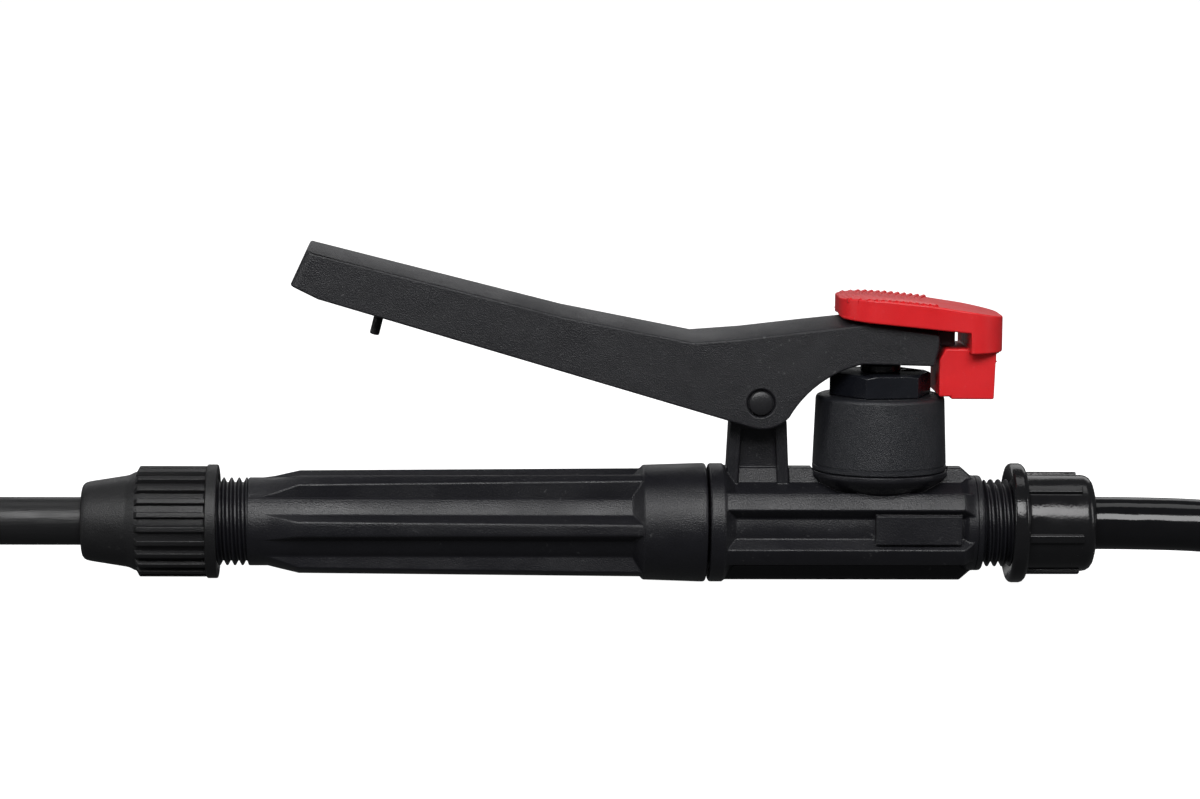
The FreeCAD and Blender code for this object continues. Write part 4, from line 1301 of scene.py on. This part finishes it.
# ------------------------------------------------------------------ studio
@dataclass(frozen=True)
class Softbox:
    """One lamp: places in metres from the middle of the object, sizes in metres, power in watts."""

    name: str
    place: Point
    aim: Point
    size: tuple[float, float]
    power: float


SOFTBOXES = (
    Softbox("front_softbox", (-0.1, -1.35, 1.0), (0, 0, 0), (1.5, 0.7), 23.0),
    Softbox("top_softbox", (0.0, 0.2, 1.7), (0, 0.1, 0), (1.6, 0.7), 4.0),
    Softbox("back_glow", (0.0, 1.8, 0.95), (0, 0, 0.05), (2.6, 0.8), 6.0),
    Softbox("left_strip", (-1.6, -0.4, 0.5), (0, 0, 0), (0.3, 0.9), 4.0),
    Softbox("right_strip", (1.6, -0.5, 0.55), (0, 0, 0), (0.3, 0.9), 4.0),
)


@dataclass
class Studio:
    """Camera, pale floor and soft lights."""

    bench: Bench
    distance: float = 0.917
    elevation: float = 7.0
    azimuth: float = -2.2
    lens: float = 115.5
    roll: float = 0.45
    aim: Point = (-66.9, 0.0, 29.5)
    floor_size: float = 60.0
    floor_gap: float = 0.0002      # how far the floor lies under the object, in metres
    floor_glow: float = 1.0
    room_light: float = 0.07

    def set_camera(self) -> None:
        """Places the camera on the object's long side, a little above it."""
        target = self.bench.at(*self.aim)
        up = math.radians(self.elevation)
        around = math.radians(self.azimuth)
        away = Vector((math.sin(around) * math.cos(up), -math.cos(around) * math.cos(up), math.sin(up)))
        data = bpy.data.cameras.new("camera")
        data.lens = self.lens
        data.sensor_width = 36.0
        data.clip_start = 0.01
        camera = bpy.data.objects.new("camera", data)
        camera.location = target + away * self.distance
        aim = (-away).to_track_quat("-Z", "Y").to_matrix().to_4x4()
        camera.matrix_world = Matrix.Translation(camera.location) @ aim @ Matrix.Rotation(
            math.radians(self.roll), 4, "Z")
        bpy.context.scene.collection.objects.link(camera)
        bpy.context.scene.camera = camera

    def set_floor(self) -> None:
        """Lays a pale matt floor at the height that the object stands on."""
        bpy.ops.object.select_all(action="DESELECT")
        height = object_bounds()[0][2] - self.floor_gap
        bpy.ops.mesh.primitive_plane_add(size=self.floor_size, location=(0, 0, height))
        floor = bpy.context.active_object
        floor.name = "floor"
        pale = bpy.data.materials.new("floor_pale")
        pale.use_nodes = True
        NodeDesk(pale).fill(pale.node_tree.nodes["Principled BSDF"], {
            "Base Color": (0.5, 0.5, 0.5, 1), "Roughness": 0.95, "Specular IOR Level": 0.1,
            "Emission Color": (1, 1, 1, 1), "Emission Strength": self.floor_glow})
        floor.data.materials.append(pale)
        floor.visible_glossy = False
        floor.visible_diffuse = False
        floor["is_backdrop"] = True

    def hang(self, box: Softbox) -> None:
        """Adds one lamp.

        Args:
            box: the softbox to hang.
        """
        data = bpy.data.lights.new(box.name, "AREA")
        data.shape = "RECTANGLE"
        data.size, data.size_y = box.size
        data.energy = box.power
        lamp = bpy.data.objects.new(box.name, data)
        lamp.location = self.bench.at(*self.aim) + Vector(box.place)
        lamp.rotation_euler = (Vector(box.aim) - Vector(box.place)).to_track_quat("-Z", "Y").to_euler()
        bpy.context.scene.collection.objects.link(lamp)

    def set_lights(self) -> None:
        """Hangs the softboxes and sets the dim room round them."""
        for box in SOFTBOXES:
            self.hang(box)
        world = bpy.data.worlds.new("room")
        bpy.context.scene.world = world
        world.use_nodes = True
        room = world.node_tree.nodes["Background"]
        room.inputs["Color"].default_value = (0.95, 0.97, 1.0, 1)
        room.inputs["Strength"].default_value = self.room_light
        bpy.context.scene.view_settings.view_transform = "Standard"


def main() -> None:
    """Builds every sub-assembly in order."""
    logging.basicConfig(level=logging.INFO, format="%(name)s: %(message)s")
    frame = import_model()
    bench = Bench()
    studio = Studio(bench)
    studio.set_camera()
    paint = Paint()
    paint.cover_frame(frame)
    hose = SupplyHose(bench, paint, frame)
    hose.build()
    nuts = HoseUnion(bench, paint, frame).build()
    straps = HankStraps(bench, paint, frame).build()
    hose.declare([nuts[1], "tank_tail", "tank_washer", straps])
    lance = Lance(bench, paint, frame)
    lance.build_nut()
    lance.build_nozzle()
    barrel = Barrel(bench, paint, frame)
    barrel.build_grip()
    barrel.build_body()
    ValveHead(bench, paint, frame).build()
    lever = SqueezeLever(bench, paint, frame)
    lever.build_lever()
    lever.build_pin()
    HoldOpenSlider(bench, paint, frame).build()
    studio.set_floor()
    studio.set_lights()


if __name__ == "__main__":
    main()
